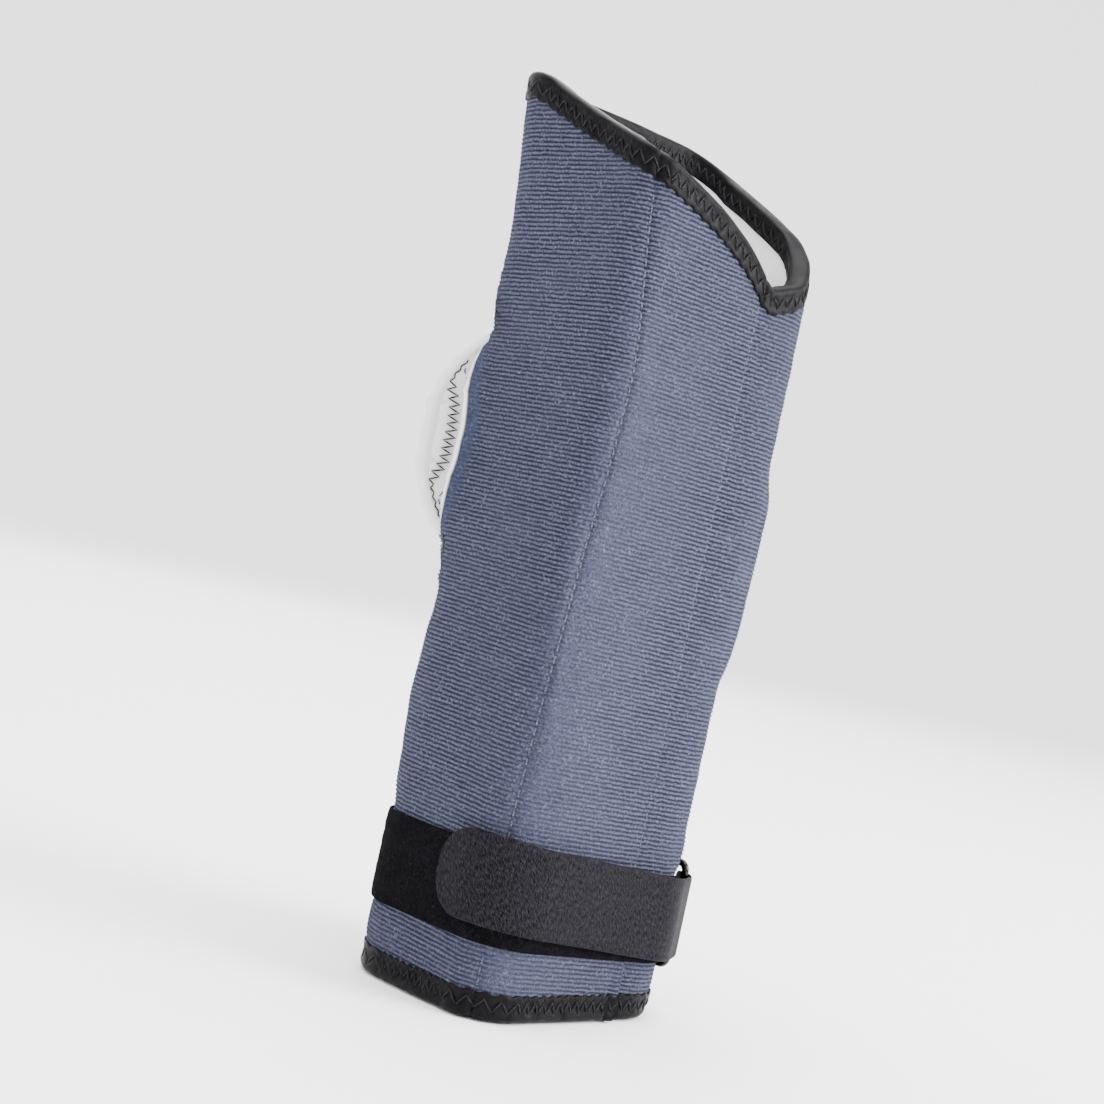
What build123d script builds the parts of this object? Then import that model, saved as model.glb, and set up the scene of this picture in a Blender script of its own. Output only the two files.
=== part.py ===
"""A padded wrist and hand splint: a two-panel laminated sleeve with a thumb hole, stays and a cinch strap.

Frame: +Z runs from the forearm opening to the fingers, -Y is the back of the hand (dorsal), +Y the palm,
-X the thumb side (radial) and +X the little-finger side (ulnar). The origin is the centre of the forearm
opening, on the plane that the splint stands on. Lengths are millimetres.
"""

import os
from math import acos, atan2, cos, degrees, hypot, pi, radians, sin

from build123d import *

os.makedirs("parts", exist_ok=True)

# ---- driving dimensions -------------------------------------------------------------------------
HALF_DEPTH = 33.0  # dorsal face to mid-plane, the same at every height
PRISM_TOP = 80.0  # below this the sleeve has one constant section
THENAR_Z = 165.0  # height of the bulge at the base of the thumb
BLANK_TOP = 292.0  # the sleeve is drawn this tall, then trimmed to the slanted rim

# (height, half width, corner radii: dorsal-radial, dorsal-ulnar, palmar-ulnar, thenar)
FOREARM = (43.0, (16.0, 20.0, 20.0, 20.0))
THENAR = (44.5, (12.0, 19.0, 18.0, 10.0))
HAND = (45.0, (12.0, 19.0, 18.0, 18.0))
SECTIONS = ((0.0, FOREARM), (PRISM_TOP, FOREARM), (THENAR_Z, THENAR), (BLANK_TOP, HAND))

# depth of each layer below the sleeve's outer surface, with a glue line between layers
COVER = (0.0, 0.9)
FOAM = (1.05, 4.15)
LINING = (4.3, 5.0)
GLUE_LINE = 0.15

BINDING_PLY = 0.65
BINDING_HEIGHT = 8.5
SEAM_X = 14.5  # seam on the dorsal face, where the two panels meet
# stitch line at the other side of the dorsal stay's channel: (height, place round the crease, 0 to 1)
CHANNEL_LINE = ((10.0, 0.42), (70.0, 0.43), (128.0, 0.58), (190.0, 0.84), (243.0, 0.56))
THUMB_SEAM = 7.5  # thumb-side seam, measured across the diagonal through the thumb hole

THUMB_HOLE_Z = (136.0, 200.0)
THUMB_HOLE_HALF_WIDTH = 9.5
FACING_WIDTH = 5.0

STRAP_WIDTH = 28.0
STRAP_Z = 17.5  # the strap's lower edge at the ring
BAND_THICK = 1.45
TAIL_THICK = 1.2
HOOK_THICK = 0.8
HOOK_GAP = 0.55
BAND_RISE = 5.0  # how much higher the band lies on the thumb side than at the ring
TAIL_RISE = 9.5  # the same for the tail
TAIL_INSET = 0.7  # the tail is narrower than the band by this at each edge
TAIL_TIP_Y = -8.0
TAIL_TIP_RADIUS = 11.0

RING_WIRE = 1.2  # radius of the ring's moulded bar
RING_SLOT = 31.0
STRAP_BAR = (47.3, -22.8)
KEEPER_BAR = (46.2, -8.0)
KEEPER_PLY = 1.3
KEEPER_END_Y = 12.5

STAY_THICK = 1.6
DORSAL_STAY = (-24.5, 9.5, 20.0, 220.0)  # x range, z range
PALMAR_STAY = (-3.0, 19.0, 20.0, 240.0)
POCKET_MOUTH_Z = 230.0
CAP_HEIGHT = 9.0

STITCH_PITCH = 3.1
STITCH_LENGTH = 2.1
THREAD_RADIUS = 0.25
THREAD_GAP = 0.08
ZIGZAG_STEP = 2.0

DIAGONAL = cos(radians(45.0))
DORSAL_VIEW = Plane(origin=(0, 0, 0), x_dir=(DIAGONAL, -DIAGONAL, 0), z_dir=(-DIAGONAL, -DIAGONAL, 0))
THUMB_VIEW = Plane(origin=(0, 0, 0), x_dir=(-DIAGONAL, -DIAGONAL, 0), z_dir=(-DIAGONAL, DIAGONAL, 0))
SIDE_VIEW = Plane(origin=(0, 0, 0), x_dir=(0, 1, 0), z_dir=(1, 0, 0))
FAR = 120.0  # any size well beyond the splint

# height of the hand opening's rim: across the dorsal-radial diagonal, and from back to palm
DORSAL_RIM = (
    (-60, 289), (-47, 280), (-31, 269.5), (-15.7, 261), (0, 254.5),
    (15.4, 247.5), (28, 238.5), (34, 232), (60, 205),
)
PALMAR_RIM = (
    (-60, 205), (-34.5, 232), (-30, 241), (-22, 249.5), (-10, 257.5),
    (5, 266), (20, 274), (33, 280), (60, 291),
)


# ---- the sleeve ---------------------------------------------------------------------------------
def outline(half_width, radii, depth, z):
    """The sleeve's closed section at height z, moved in by depth (out, if it is negative)."""
    a, b = half_width - depth, HALF_DEPTH - depth
    crease, dorsal, palmar, thenar = (r - depth for r in radii)
    edges = [
        Line((crease - a, -b), (a - dorsal, -b)),
        CenterArc((a - dorsal, dorsal - b), dorsal, -90, 90),
        Line((a, dorsal - b), (a, b - palmar)),
        CenterArc((a - palmar, b - palmar), palmar, 0, 90),
        Line((a - palmar, b), (thenar - a, b)),
        CenterArc((thenar - a, b - thenar), thenar, 90, 90),
        Line((-a, b - thenar), (-a, crease - b)),
        CenterArc((crease - a, crease - b), crease, 180, 90),
    ]
    return Pos(0, 0, z) * make_face(edges)


def core(depth, bottom=0.0):
    """The solid inside the surface that lies depth below the sleeve's outer surface."""
    low = SECTIONS[0][1]
    faces = [outline(*low, depth, bottom)]
    faces += [outline(*shape, depth, z) for z, shape in SECTIONS[1:]]
    return loft(faces, ruled=True)


def shell(outer, inner, bottom=0.0):
    """The sleeve's wall between two depths, from the bottom up to the untrimmed top."""
    return core(outer, bottom) - core(inner, bottom - 5.0) - core(inner, bottom)


def below(profile, plane, drop):
    """Everything under a rim profile that is lowered by drop."""
    top = Spline(*[(x, z - drop) for x, z in profile])
    first, last = profile[0], profile[-1]
    foot = -30.0
    sides = Polyline((last[0], last[1] - drop), (last[0], foot), (first[0], foot), (first[0], first[1] - drop))
    return extrude(plane * make_face([top, sides]), FAR, both=True)


def dorsal_side():
    """The plan area of the dorsal panel: from the thumb seam round the thumb side to the dorsal seam."""
    k = -THUMB_SEAM * DIAGONAL
    corners = ((k, k), (k - FAR, k + FAR), (-2 * FAR, 0), (-2 * FAR, -FAR), (SEAM_X, -FAR), (SEAM_X, k))
    return Pos(0, 0, -30) * extrude(make_face(Polyline(*corners, close=True)), 400)


def lens(grow=0.0):
    """A pointed oval prism through the wall at the base of the thumb, larger than the hole by grow."""
    low, high = THUMB_HOLE_Z
    centre, half = THUMB_SEAM, THUMB_HOLE_HALF_WIDTH + grow
    ends = (centre, low - grow), (centre, high + grow)
    near = ThreePointArc(ends[0], (centre + half, (low + high) / 2), ends[1])
    far = ThreePointArc(ends[1], (centre - half, (low + high) / 2), ends[0])
    return THUMB_VIEW * Pos(0, 0, 22) * extrude(make_face([near, far]), 60)


DORSAL = dorsal_side()
HOLE = lens()
SIDES = {"dorsal": (DORSAL_RIM, DORSAL_VIEW), "palmar": (PALMAR_RIM, SIDE_VIEW)}


def on_side(solid, side):
    """The part of a sleeve solid that belongs to one panel."""
    return solid & DORSAL if side == "dorsal" else solid - DORSAL


def panel_layer(layer, side):
    """One layer of one panel, trimmed inside the bindings and at the thumb hole."""
    fold = BINDING_PLY + GLUE_LINE
    wall = on_side(shell(*layer, bottom=fold), side) - HOLE
    return wall & below(*SIDES[side], fold)


def forearm_binding(side):
    """Folded tape over the panel's lower edge: outer ply, flat foot and inner ply."""
    tape = extrude(outline(*FOREARM, -BINDING_PLY - GLUE_LINE, 0), BINDING_HEIGHT)
    tape -= extrude(outline(*FOREARM, LINING[1] + GLUE_LINE + BINDING_PLY, 0), BINDING_HEIGHT)
    wall = extrude(outline(*FOREARM, -GLUE_LINE, BINDING_PLY), BINDING_HEIGHT)
    wall -= extrude(outline(*FOREARM, LINING[1] + GLUE_LINE, BINDING_PLY), BINDING_HEIGHT)
    return on_side(tape - wall, side)


def hand_binding(side):
    """Folded tape over the panel's slanted upper edge."""
    tape = shell(-BINDING_PLY - GLUE_LINE, LINING[1] + GLUE_LINE + BINDING_PLY)
    tape = on_side(tape, side) & below(*SIDES[side], 0)
    tape -= below(*SIDES[side], BINDING_HEIGHT)
    wall = shell(-GLUE_LINE, LINING[1] + GLUE_LINE) & below(*SIDES[side], BINDING_PLY)
    return tape - wall


def thumb_facing():
    """Soft tape sewn inside the palmar edge of the thumb hole."""
    tape = shell(LINING[1] + GLUE_LINE, LINING[1] + GLUE_LINE + BINDING_PLY) & lens(FACING_WIDTH)
    return on_side(tape, "palmar") - HOLE


# ---- stays and their pockets --------------------------------------------------------------------
def slab(x_range, y_range, z_range, corner=0.0):
    """An upright plate, with rounded corners in its own plane."""
    x0, x1 = x_range
    y0, y1 = y_range
    z0, z1 = z_range
    plate = Box(x1 - x0, y1 - y0, z1 - z0)
    if corner:
        plate = fillet(plate.edges().filter_by(Axis.Y), corner)
    return Pos((x0 + x1) / 2, (y0 + y1) / 2, (z0 + z1) / 2) * plate


def capped_stay(x0, x1, z0, z1, y0):
    """A flat aluminium bar and its two moulded end caps, which slip over the bar's narrowed ends."""
    corner = 6.0
    y1 = y0 + STAY_THICK
    bar = slab((x0, x1), (y0, y1), (z0, z1), corner)
    skin = 0.5
    end_heights = ((z0 - 1, z0 + CAP_HEIGHT), (z1 - CAP_HEIGHT, z1 + 1))
    ends = [slab((x0 - 1, x1 + 1), (y0 - 1, y1 + 1), heights) for heights in end_heights]
    narrow = slab((x0 + skin, x1 - skin), (y0 + skin, y1 - skin), (z0 + skin, z1 - skin), corner - skin)
    middle = bar - ends[0] - ends[1]
    tongue = narrow & (ends[0] + ends[1])
    inner = middle + tongue
    caps = [(bar & end) - narrow for end in ends]
    return inner, caps


DORSAL_STAY_Y = COVER[1] + GLUE_LINE - HALF_DEPTH
stay_x0, stay_x1, stay_z0, stay_z1 = DORSAL_STAY
dorsal_stay, dorsal_caps = capped_stay(stay_x0, stay_x1, stay_z0, stay_z1, DORSAL_STAY_Y)
BACKING = 0.5
backing_y = DORSAL_STAY_Y + STAY_THICK + GLUE_LINE
BACKING_SIDE, BACKING_END = 3.0, 5.0  # how far it reaches past the stay
RECESS_PLAY = 0.2


def backing_slab(play, y0, y1):
    """The backing strip's outline, grown by play, between two depths."""
    side, end = BACKING_SIDE + play, BACKING_END + play
    return slab((stay_x0 - side, stay_x1 + side), (y0, y1), (stay_z0 - end, stay_z1 + end), 4)


dorsal_backing = backing_slab(0, backing_y, backing_y + BACKING)
foam_recess = backing_slab(RECESS_PLAY, -HALF_DEPTH, backing_y + BACKING + GLUE_LINE)

lining_y = HALF_DEPTH - LINING[1] - GLUE_LINE
POCKET_PLY = 0.7
STAY_PLAY = 0.3
palm_x0, palm_x1, palm_z0, palm_z1 = PALMAR_STAY
palmar_stay_y = lining_y - POCKET_PLY - STAY_PLAY - STAY_THICK
palmar_stay, palmar_caps = capped_stay(palm_x0, palm_x1, palm_z0, palm_z1, palmar_stay_y)


def palmar_pocket():
    """A flat fabric sleeve sewn to the palm lining, open at the top, that the palmar stay slides in."""
    front_y = palmar_stay_y - STAY_PLAY - POCKET_PLY
    hem = 3.0
    foot = palm_z0 - 2 - hem
    flange = slab((palm_x0 - hem, palm_x1 + hem), (lining_y - POCKET_PLY, lining_y), (foot, POCKET_MOUTH_Z), 1)
    body = slab((palm_x0 - 1.0, palm_x1 + 1.0), (front_y, lining_y), (palm_z0 - 1.0, POCKET_MOUTH_Z))
    room = slab(
        (palm_x0 - STAY_PLAY, palm_x1 + STAY_PLAY),
        (palmar_stay_y - STAY_PLAY, palmar_stay_y + STAY_THICK + STAY_PLAY),
        (palm_z0 - STAY_PLAY, palm_z1 + 20),
    )
    return (flange + body) - room


# ---- strap and ring -----------------------------------------------------------------------------
def at(centre, radius, angle):
    """The point of a circle at an angle in degrees."""
    return centre[0] + radius * cos(radians(angle)), centre[1] + radius * sin(radians(angle))


half_width, (crease_r, ulnar_r, palm_r, thenar_r) = FOREARM
ULNAR_CORNER = (half_width - ulnar_r, ulnar_r - HALF_DEPTH)
CREASE_CORNER = (crease_r - half_width, crease_r - HALF_DEPTH)
THENAR_CORNER = (thenar_r - half_width, HALF_DEPTH - thenar_r)
to_bar = (STRAP_BAR[0] - ULNAR_CORNER[0], STRAP_BAR[1] - ULNAR_CORNER[1])
BAR_DISTANCE = hypot(*to_bar)
BAR_BEARING = degrees(atan2(to_bar[1], to_bar[0]))
FOLD_INNER = RING_WIRE + 0.15
FOLD_MID = FOLD_INNER + BAND_THICK / 2
FOLD_OUTER = FOLD_INNER + BAND_THICK


def ribbon(points_and_arcs, z0, z1):
    """A strap of constant thickness: a plan face bounded by its edges, drawn up from z0 to z1."""
    return Pos(0, 0, z0) * extrude(make_face(points_and_arcs), z1 - z0)


def band():
    """The loop-pile strap: sewn on the palm side, round the thumb side and the back, to the ring's bar."""
    near, far = GLUE_LINE, GLUE_LINE + BAND_THICK
    start_x = 8.0
    mid = ulnar_r + (near + far) / 2
    leave = BAR_BEARING - degrees(acos((mid + FOLD_MID) / BAR_DISTANCE))
    edges = []
    ends = []
    for out, bar_radius in ((near, FOLD_OUTER), (far, FOLD_INNER)):
        y, x = HALF_DEPTH + out, half_width + out
        edges += [
            Line((start_x, y), (THENAR_CORNER[0], y)),
            CenterArc(THENAR_CORNER, thenar_r + out, 90, 90),
            Line((-x, THENAR_CORNER[1]), (-x, CREASE_CORNER[1])),
            CenterArc(CREASE_CORNER, crease_r + out, 180, 90),
            Line((CREASE_CORNER[0], -y), (ULNAR_CORNER[0], -y)),
            CenterArc(ULNAR_CORNER, ulnar_r + out, -90, leave + 90),
            Line(at(ULNAR_CORNER, ulnar_r + out, leave), at(STRAP_BAR, bar_radius, leave + 180)),
        ]
        ends.append(((start_x, y), at(STRAP_BAR, bar_radius, leave + 180)))
    edges += [Line(ends[0][k], ends[1][k]) for k in (0, 1)]
    return slanted(edges, BAND_RISE, 0.0), leave + 180


TAIL_NEAR = GLUE_LINE + BAND_THICK + HOOK_GAP + HOOK_THICK
TAIL_FAR = TAIL_NEAR + TAIL_THICK
tail_mid = ulnar_r + (TAIL_NEAR + TAIL_FAR) / 2
TAIL_LEAVE = BAR_BEARING - degrees(acos((tail_mid - FOLD_MID) / BAR_DISTANCE))
PLY_SPLIT = (FOLD_INNER + FOLD_OUTER) / 2
LAP_END = 18.0  # the tail's half-thick end laps round the bar to this angle


def half_ring(centre, inner, outer, start, size):
    """Plan edges of a ring sector."""
    stop = start + size
    return [
        CenterArc(centre, inner, start, size),
        CenterArc(centre, outer, start, size),
        Line(at(centre, inner, start), at(centre, outer, start)),
        Line(at(centre, inner, stop), at(centre, outer, stop)),
    ]


def fold(arrive):
    """The strap's inner half round the ring's bar, which turns with the ring."""
    start = TAIL_LEAVE + 8
    edges = half_ring(STRAP_BAR, FOLD_INNER, PLY_SPLIT - 0.08, start, arrive - start)
    return ribbon(edges, STRAP_Z + 0.2, STRAP_Z + STRAP_WIDTH - 0.2)


def tail_run(near, far, first_angle, tip_y):
    """Plan edges of a strip that lies over the band, from the ring's bar to the thumb side."""
    edges = []
    tips = []
    for out, radius in ((near, PLY_SPLIT + 0.08), (far, FOLD_OUTER)):
        x, y = half_width + out, HALF_DEPTH + out
        edges += [
            CenterArc(ULNAR_CORNER, ulnar_r + out, -90, first_angle + 90),
            Line((ULNAR_CORNER[0], -y), (CREASE_CORNER[0], -y)),
            CenterArc(CREASE_CORNER, crease_r + out, 180, 90),
            Line((-x, CREASE_CORNER[1]), (-x, tip_y)),
        ]
        tips.append(((-x, tip_y), at(STRAP_BAR, radius, LAP_END)))
        edges.append(Line(at(ULNAR_CORNER, ulnar_r + out, first_angle), at(STRAP_BAR, radius, first_angle)))
        edges.append(CenterArc(STRAP_BAR, radius, first_angle, LAP_END - first_angle))
    return edges + [Line(tips[0][k], tips[1][k]) for k in (0, 1)]


def slanted(edges, rise, inset):
    """A strap with the given plan edges whose long edges rise from the ring towards the thumb side."""
    x0, x1 = -half_width - TAIL_FAR - 1, STRAP_BAR[0] + 2
    low, high = STRAP_Z + inset, STRAP_Z + STRAP_WIDTH - inset
    side = make_face(Polyline((x0, low + rise), (x1, low), (x1, high), (x0, high + rise), close=True))
    far_side = make_face(Polyline((x1, low), (x1 + FAR, low), (x1 + FAR, high), (x1, high), close=True))
    strip = ribbon(edges, STRAP_Z - 2, STRAP_Z + STRAP_WIDTH + rise + 4)
    return strip & extrude(Plane.XZ * (side + far_side), FAR, both=True)


def tip_window(tip_y, inset):
    """The rounded end of the tail, seen along X, with everything towards the back of the hand kept."""
    z0 = STRAP_Z + TAIL_RISE + inset
    z1 = STRAP_Z + TAIL_RISE + STRAP_WIDTH - inset
    length = 60.0
    plate = Box(60, length, z1 - z0 + 0.6)
    tip_edges = plate.edges().filter_by(Axis.X).group_by(Axis.Y)[-1]
    plate = fillet(tip_edges, TAIL_TIP_RADIUS - inset)
    return Pos(-half_width, tip_y - length / 2, (z0 + z1) / 2) * plate


def trimmed_tail(run, tip_y, inset):
    """A tail or hook strip cut to its slanted edges and rounded tip."""
    strip = slanted(run, TAIL_RISE, inset)
    radial = Pos(CREASE_CORNER[0] - 50, 0, 40) * Box(100, 200, 120)
    return (strip - radial) + (strip & radial & tip_window(tip_y, inset))


def hook_patch():
    """The hook pad under the tail's tip: over the crease and a third of the back."""
    near = TAIL_NEAR - HOOK_THICK
    far = TAIL_NEAR - GLUE_LINE
    stop_x = -8.0
    tip_y = TAIL_TIP_Y - 2.5
    edges, tips = [], []
    for out in (near, far):
        x, y = half_width + out, HALF_DEPTH + out
        edges += [
            Line((stop_x, -y), (CREASE_CORNER[0], -y)),
            CenterArc(CREASE_CORNER, crease_r + out, 180, 90),
            Line((-x, CREASE_CORNER[1]), (-x, tip_y)),
        ]
        tips.append(((-x, tip_y), (stop_x, -y)))
    edges += [Line(tips[0][k], tips[1][k]) for k in (0, 1)]
    return trimmed_tail(edges, tip_y, TAIL_INSET + 1.6)


def ring():
    """The moulded rectangular ring, a round bar bent into a rounded frame in an upright plane."""
    across = hypot(STRAP_BAR[0] - KEEPER_BAR[0], STRAP_BAR[1] - KEEPER_BAR[1])
    height = RING_SLOT + 2 * RING_WIRE
    middle = ((STRAP_BAR[0] + KEEPER_BAR[0]) / 2, (STRAP_BAR[1] + KEEPER_BAR[1]) / 2)
    direction = ((STRAP_BAR[0] - KEEPER_BAR[0]) / across, (STRAP_BAR[1] - KEEPER_BAR[1]) / across, 0)
    facing = Vector(*direction).cross(Vector(0, 0, 1))
    plane = Plane(origin=(*middle, STRAP_Z + STRAP_WIDTH / 2), x_dir=direction, z_dir=facing)
    frame = plane * RectangleRounded(across, height, 2.6)
    path = frame.face().outer_wire()
    start = path @ 0
    section = Plane(origin=start, z_dir=path % 0) * Circle(RING_WIRE)
    return sweep(section, path=path, transition=Transition.ROUND)


def keeper():
    """The webbing loop that holds the ring: two plies sewn to the panel and an eye round the ring's bar."""
    ply = KEEPER_PLY
    eye_inner, eye_outer = RING_WIRE + 0.12, RING_WIRE + 0.12 + ply
    z0, z1 = STRAP_Z + 1.5, STRAP_Z + STRAP_WIDTH - 1.5
    base_x = half_width + GLUE_LINE
    eye = Pos(*KEEPER_BAR, (z0 + z1) / 2) * Cylinder(eye_outer, z1 - z0)
    plies = slab((base_x, base_x + 2 * ply), (KEEPER_BAR[1], KEEPER_END_Y), (z0, z1))
    wall_side = slab((half_width - 3, base_x), (-30, 30), (z0 - 1, z1 + 1))
    bore = Pos(*KEEPER_BAR, (z0 + z1) / 2) * Cylinder(eye_inner, 2 * z1)
    follow = extrude(outline(*FOREARM, -GLUE_LINE, 0), 80)
    return eye + plies - bore - wall_side - follow


# ---- stitching ----------------------------------------------------------------------------------
def stitch_row(place, *spans):
    """Lengthwise running stitches on the cover, at place(z) = (point, outward normal)."""
    one = Cylinder(THREAD_RADIUS, STITCH_LENGTH)
    row = []
    for z0, z1 in spans:
        for k in range(int((z1 - z0) / STITCH_PITCH)):
            (x, y, z), (nx, ny, _) = place(z0 + STITCH_PITCH * (k + 0.5))
            lift = THREAD_RADIUS + THREAD_GAP
            row.append(Pos(x + lift * nx, y + lift * ny, z) * one)
    return row


def channel_place(z):
    """Where the stay channel's stitch line lies at a height."""
    for (z0, p), (z1, q) in zip(CHANNEL_LINE, CHANNEL_LINE[1:]):
        if z <= z1:
            break
    return wall_point(3 + p + (q - p) * (z - z0) / (z1 - z0), z)


def seam_place(z):
    """Where the stitches beside the dorsal seam lie at a height."""
    return (SEAM_X - 1.5, -HALF_DEPTH, z), (0, -1, 0)


def thread_run(start, stop, outward):
    """One straight square-section leg of thread between two points, its flat side against the cloth."""
    start, stop, outward = Vector(*start), Vector(*stop), Vector(*outward)
    lift = outward * (THREAD_RADIUS + THREAD_GAP)
    leg = Plane(origin=(start + stop) * 0.5 + lift, x_dir=stop - start, z_dir=outward)
    return leg * Box((stop - start).length - 2.2 * THREAD_RADIUS, 2 * THREAD_RADIUS, 2 * THREAD_RADIUS)


def thread_path(points, normals):
    """Legs of thread between successive points on the cloth."""
    legs = zip(points, points[1:], normals, normals[1:])
    return [thread_run(p, q, Vector(*m) + Vector(*n)) for p, q, m, n in legs]


def section_at(z):
    """Half width and corner radii at a height on the ruled sleeve."""
    for (z0, (a0, r0)), (z1, (a1, r1)) in zip(SECTIONS, SECTIONS[1:]):
        if z <= z1:
            w = (z - z0) / (z1 - z0)
            return a0 + w * (a1 - a0), [p + w * (q - p) for p, q in zip(r0, r1)]
    return SECTIONS[-1][1]


def wall_point(turn, z, depth=0.0):
    """A point of the sleeve and its outward normal.

    turn: 0-1 palm face, 1-2 thenar corner, 2-3 thumb side, 3-4 dorsal-radial crease, 4-5 dorsal face,
    5-6 dorsal-ulnar corner, 6-7 ulnar side, 7-8 palmar-ulnar corner.
    """
    a, (crease, dorsal, palmar, thenar) = section_at(z)
    b = HALF_DEPTH
    centres = (
        (thenar - a, b - thenar, thenar),
        (crease - a, crease - b, crease),
        (a - dorsal, dorsal - b, dorsal),
        (a - palmar, b - palmar, palmar),
    )
    turn %= 8
    face, part = divmod(turn, 2)
    here = centres[int(face)]
    before = centres[int(face) - 1]
    start_angle = 90 + 90 * face
    if part < 1:
        angle, w = radians(start_angle), part
        cx, cy, r = (p + w * (q - p) for p, q in zip(before, here))
    else:
        angle = radians(start_angle + 90 * (part - 1))
        cx, cy, r = here
    nx, ny = cos(angle), sin(angle)
    return (cx + (r - depth) * nx, cy + (r - depth) * ny, z), (nx, ny, 0)


def rim_height(side, x, y):
    """Height of a panel's slanted edge above a plan point, straight between the rim's named points."""
    profile, plane = SIDES[side]
    along = x * plane.x_dir.X + y * plane.x_dir.Y
    for (p, zp), (q, zq) in zip(profile, profile[1:]):
        if p <= along <= q:
            return zp + (zq - zp) * (along - p) / (q - p)
    return profile[-1][1]


def zigzag(first_turn, last_turn, height_of, depth, low, high):
    """Zigzag thread along an edge of the sleeve: low and high are measured down from that edge."""
    points, normals = [], []
    turn, nudge = first_turn, 0.01
    while turn < last_turn:
        here, ahead = wall_point(turn, 240.0)[0], wall_point(turn + nudge, 240.0)[0]
        z = height_of(here[0], here[1]) - (low if len(points) % 2 else high)
        point, normal = wall_point(turn, z, depth)
        points.append(point)
        normals.append(normal)
        turn += nudge * ZIGZAG_STEP / hypot(ahead[0] - here[0], ahead[1] - here[1])
    return thread_path(points, normals)


def turn_of(test, first, last):
    """The turn between first and last at which test changes from false to true."""
    for _ in range(30):
        middle = (first + last) / 2
        first, last = (first, middle) if test(wall_point(middle, THENAR_Z)[0]) else (middle, last)
    return (first + last) / 2


THUMB_TURN = turn_of(lambda p: -(p[0] + p[1]) * DIAGONAL > THUMB_SEAM, 0.0, 3.0)
SEAM_TURN = turn_of(lambda p: p[0] > SEAM_X, 4.0, 5.0)
BINDING_FACE = -BINDING_PLY - GLUE_LINE
EDGE_MARGIN = 0.04


def binding_stitches(at_hand):
    """Zigzag thread on the outside of the binding at one end of the sleeve."""
    legs = []
    for side, first, last in (("dorsal", THUMB_TURN, SEAM_TURN), ("palmar", SEAM_TURN, THUMB_TURN + 8)):
        first, last = first + EDGE_MARGIN, last - EDGE_MARGIN

        def height(x, y, side=side):
            return rim_height(side, x, y) if at_hand else BINDING_HEIGHT

        legs += zigzag(first, last, height, BINDING_FACE, BINDING_HEIGHT - 2.5, 2.5)
    return legs


def thumb_hole_stitches():
    """Zigzag thread on the inner side of the thumb hole's palm edge."""
    low, high = THUMB_HOLE_Z
    depth = LINING[1] + GLUE_LINE + BINDING_PLY
    steps = 40
    points, normals = [], []
    for k in range(steps):
        w = (k + 1.5) / (steps + 2)
        z = low + (high - low) * w
        bulge = THUMB_HOLE_HALF_WIDTH * sin(pi * w)
        across = THUMB_SEAM - bulge - (1.2 if k % 2 else 3.2)
        turn = turn_of(lambda p: -(p[0] + p[1]) * DIAGONAL > across, 0.0, 2.0)
        point, normal = wall_point(turn, z, depth)
        points.append(point)
        normals.append((-normal[0], -normal[1], 0))
    return thread_path(points, normals)


def box_stitch(corners, outward):
    """A sewn rectangle of thread through the given corners."""
    points = list(corners) + [corners[0]]
    return thread_path(points, [outward] * len(points))


def strap_box_stitch():
    """The sewn box that fixes the strap's end to the palm side."""
    y = HALF_DEPTH + GLUE_LINE + BAND_THICK
    z0, z1 = STRAP_Z + 6.5, STRAP_Z + STRAP_WIDTH - 1.5
    return box_stitch([(-6, y, z0), (5, y, z0), (5, y, z1), (-6, y, z1)], (0, 1, 0))


def keeper_box_stitch():
    """The sewn box that fixes the ring's keeper to the ulnar side."""
    x = half_width + GLUE_LINE + 2 * KEEPER_PLY
    z0, z1 = STRAP_Z + 4.5, STRAP_Z + STRAP_WIDTH - 4.5
    y0, y1 = -2.0, KEEPER_END_Y - 2.5
    return box_stitch([(x, y0, z0), (x, y1, z0), (x, y1, z1), (x, y0, z1)], (1, 0, 0))


def pocket_stitches():
    """Runs of thread along both hems of the palmar stay's pocket."""
    y = lining_y - POCKET_PLY
    runs = []
    pitch = 2 * STITCH_PITCH
    for x in (palm_x0 - 2.0, palm_x1 + 2.0):
        for k in range(int((POCKET_MOUTH_Z - palm_z0) / pitch)):
            z = palm_z0 + pitch * k
            runs.append(thread_run((x, y, z + 1), (x, y, z + pitch - 1), (0, -1, 0)))
    return runs


# ---- writing the parts --------------------------------------------------------------------------
def write(name, shape):
    solids = shape if isinstance(shape, list) else shape.solids()
    flat = [s for item in solids for s in item.solids()]
    export_step(Compound(label=name, children=flat), f"parts/{name}.step")
    print(f"{name}: {len(flat)} solid(s), {sum(s.volume for s in flat):.0f} mm3")


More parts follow.
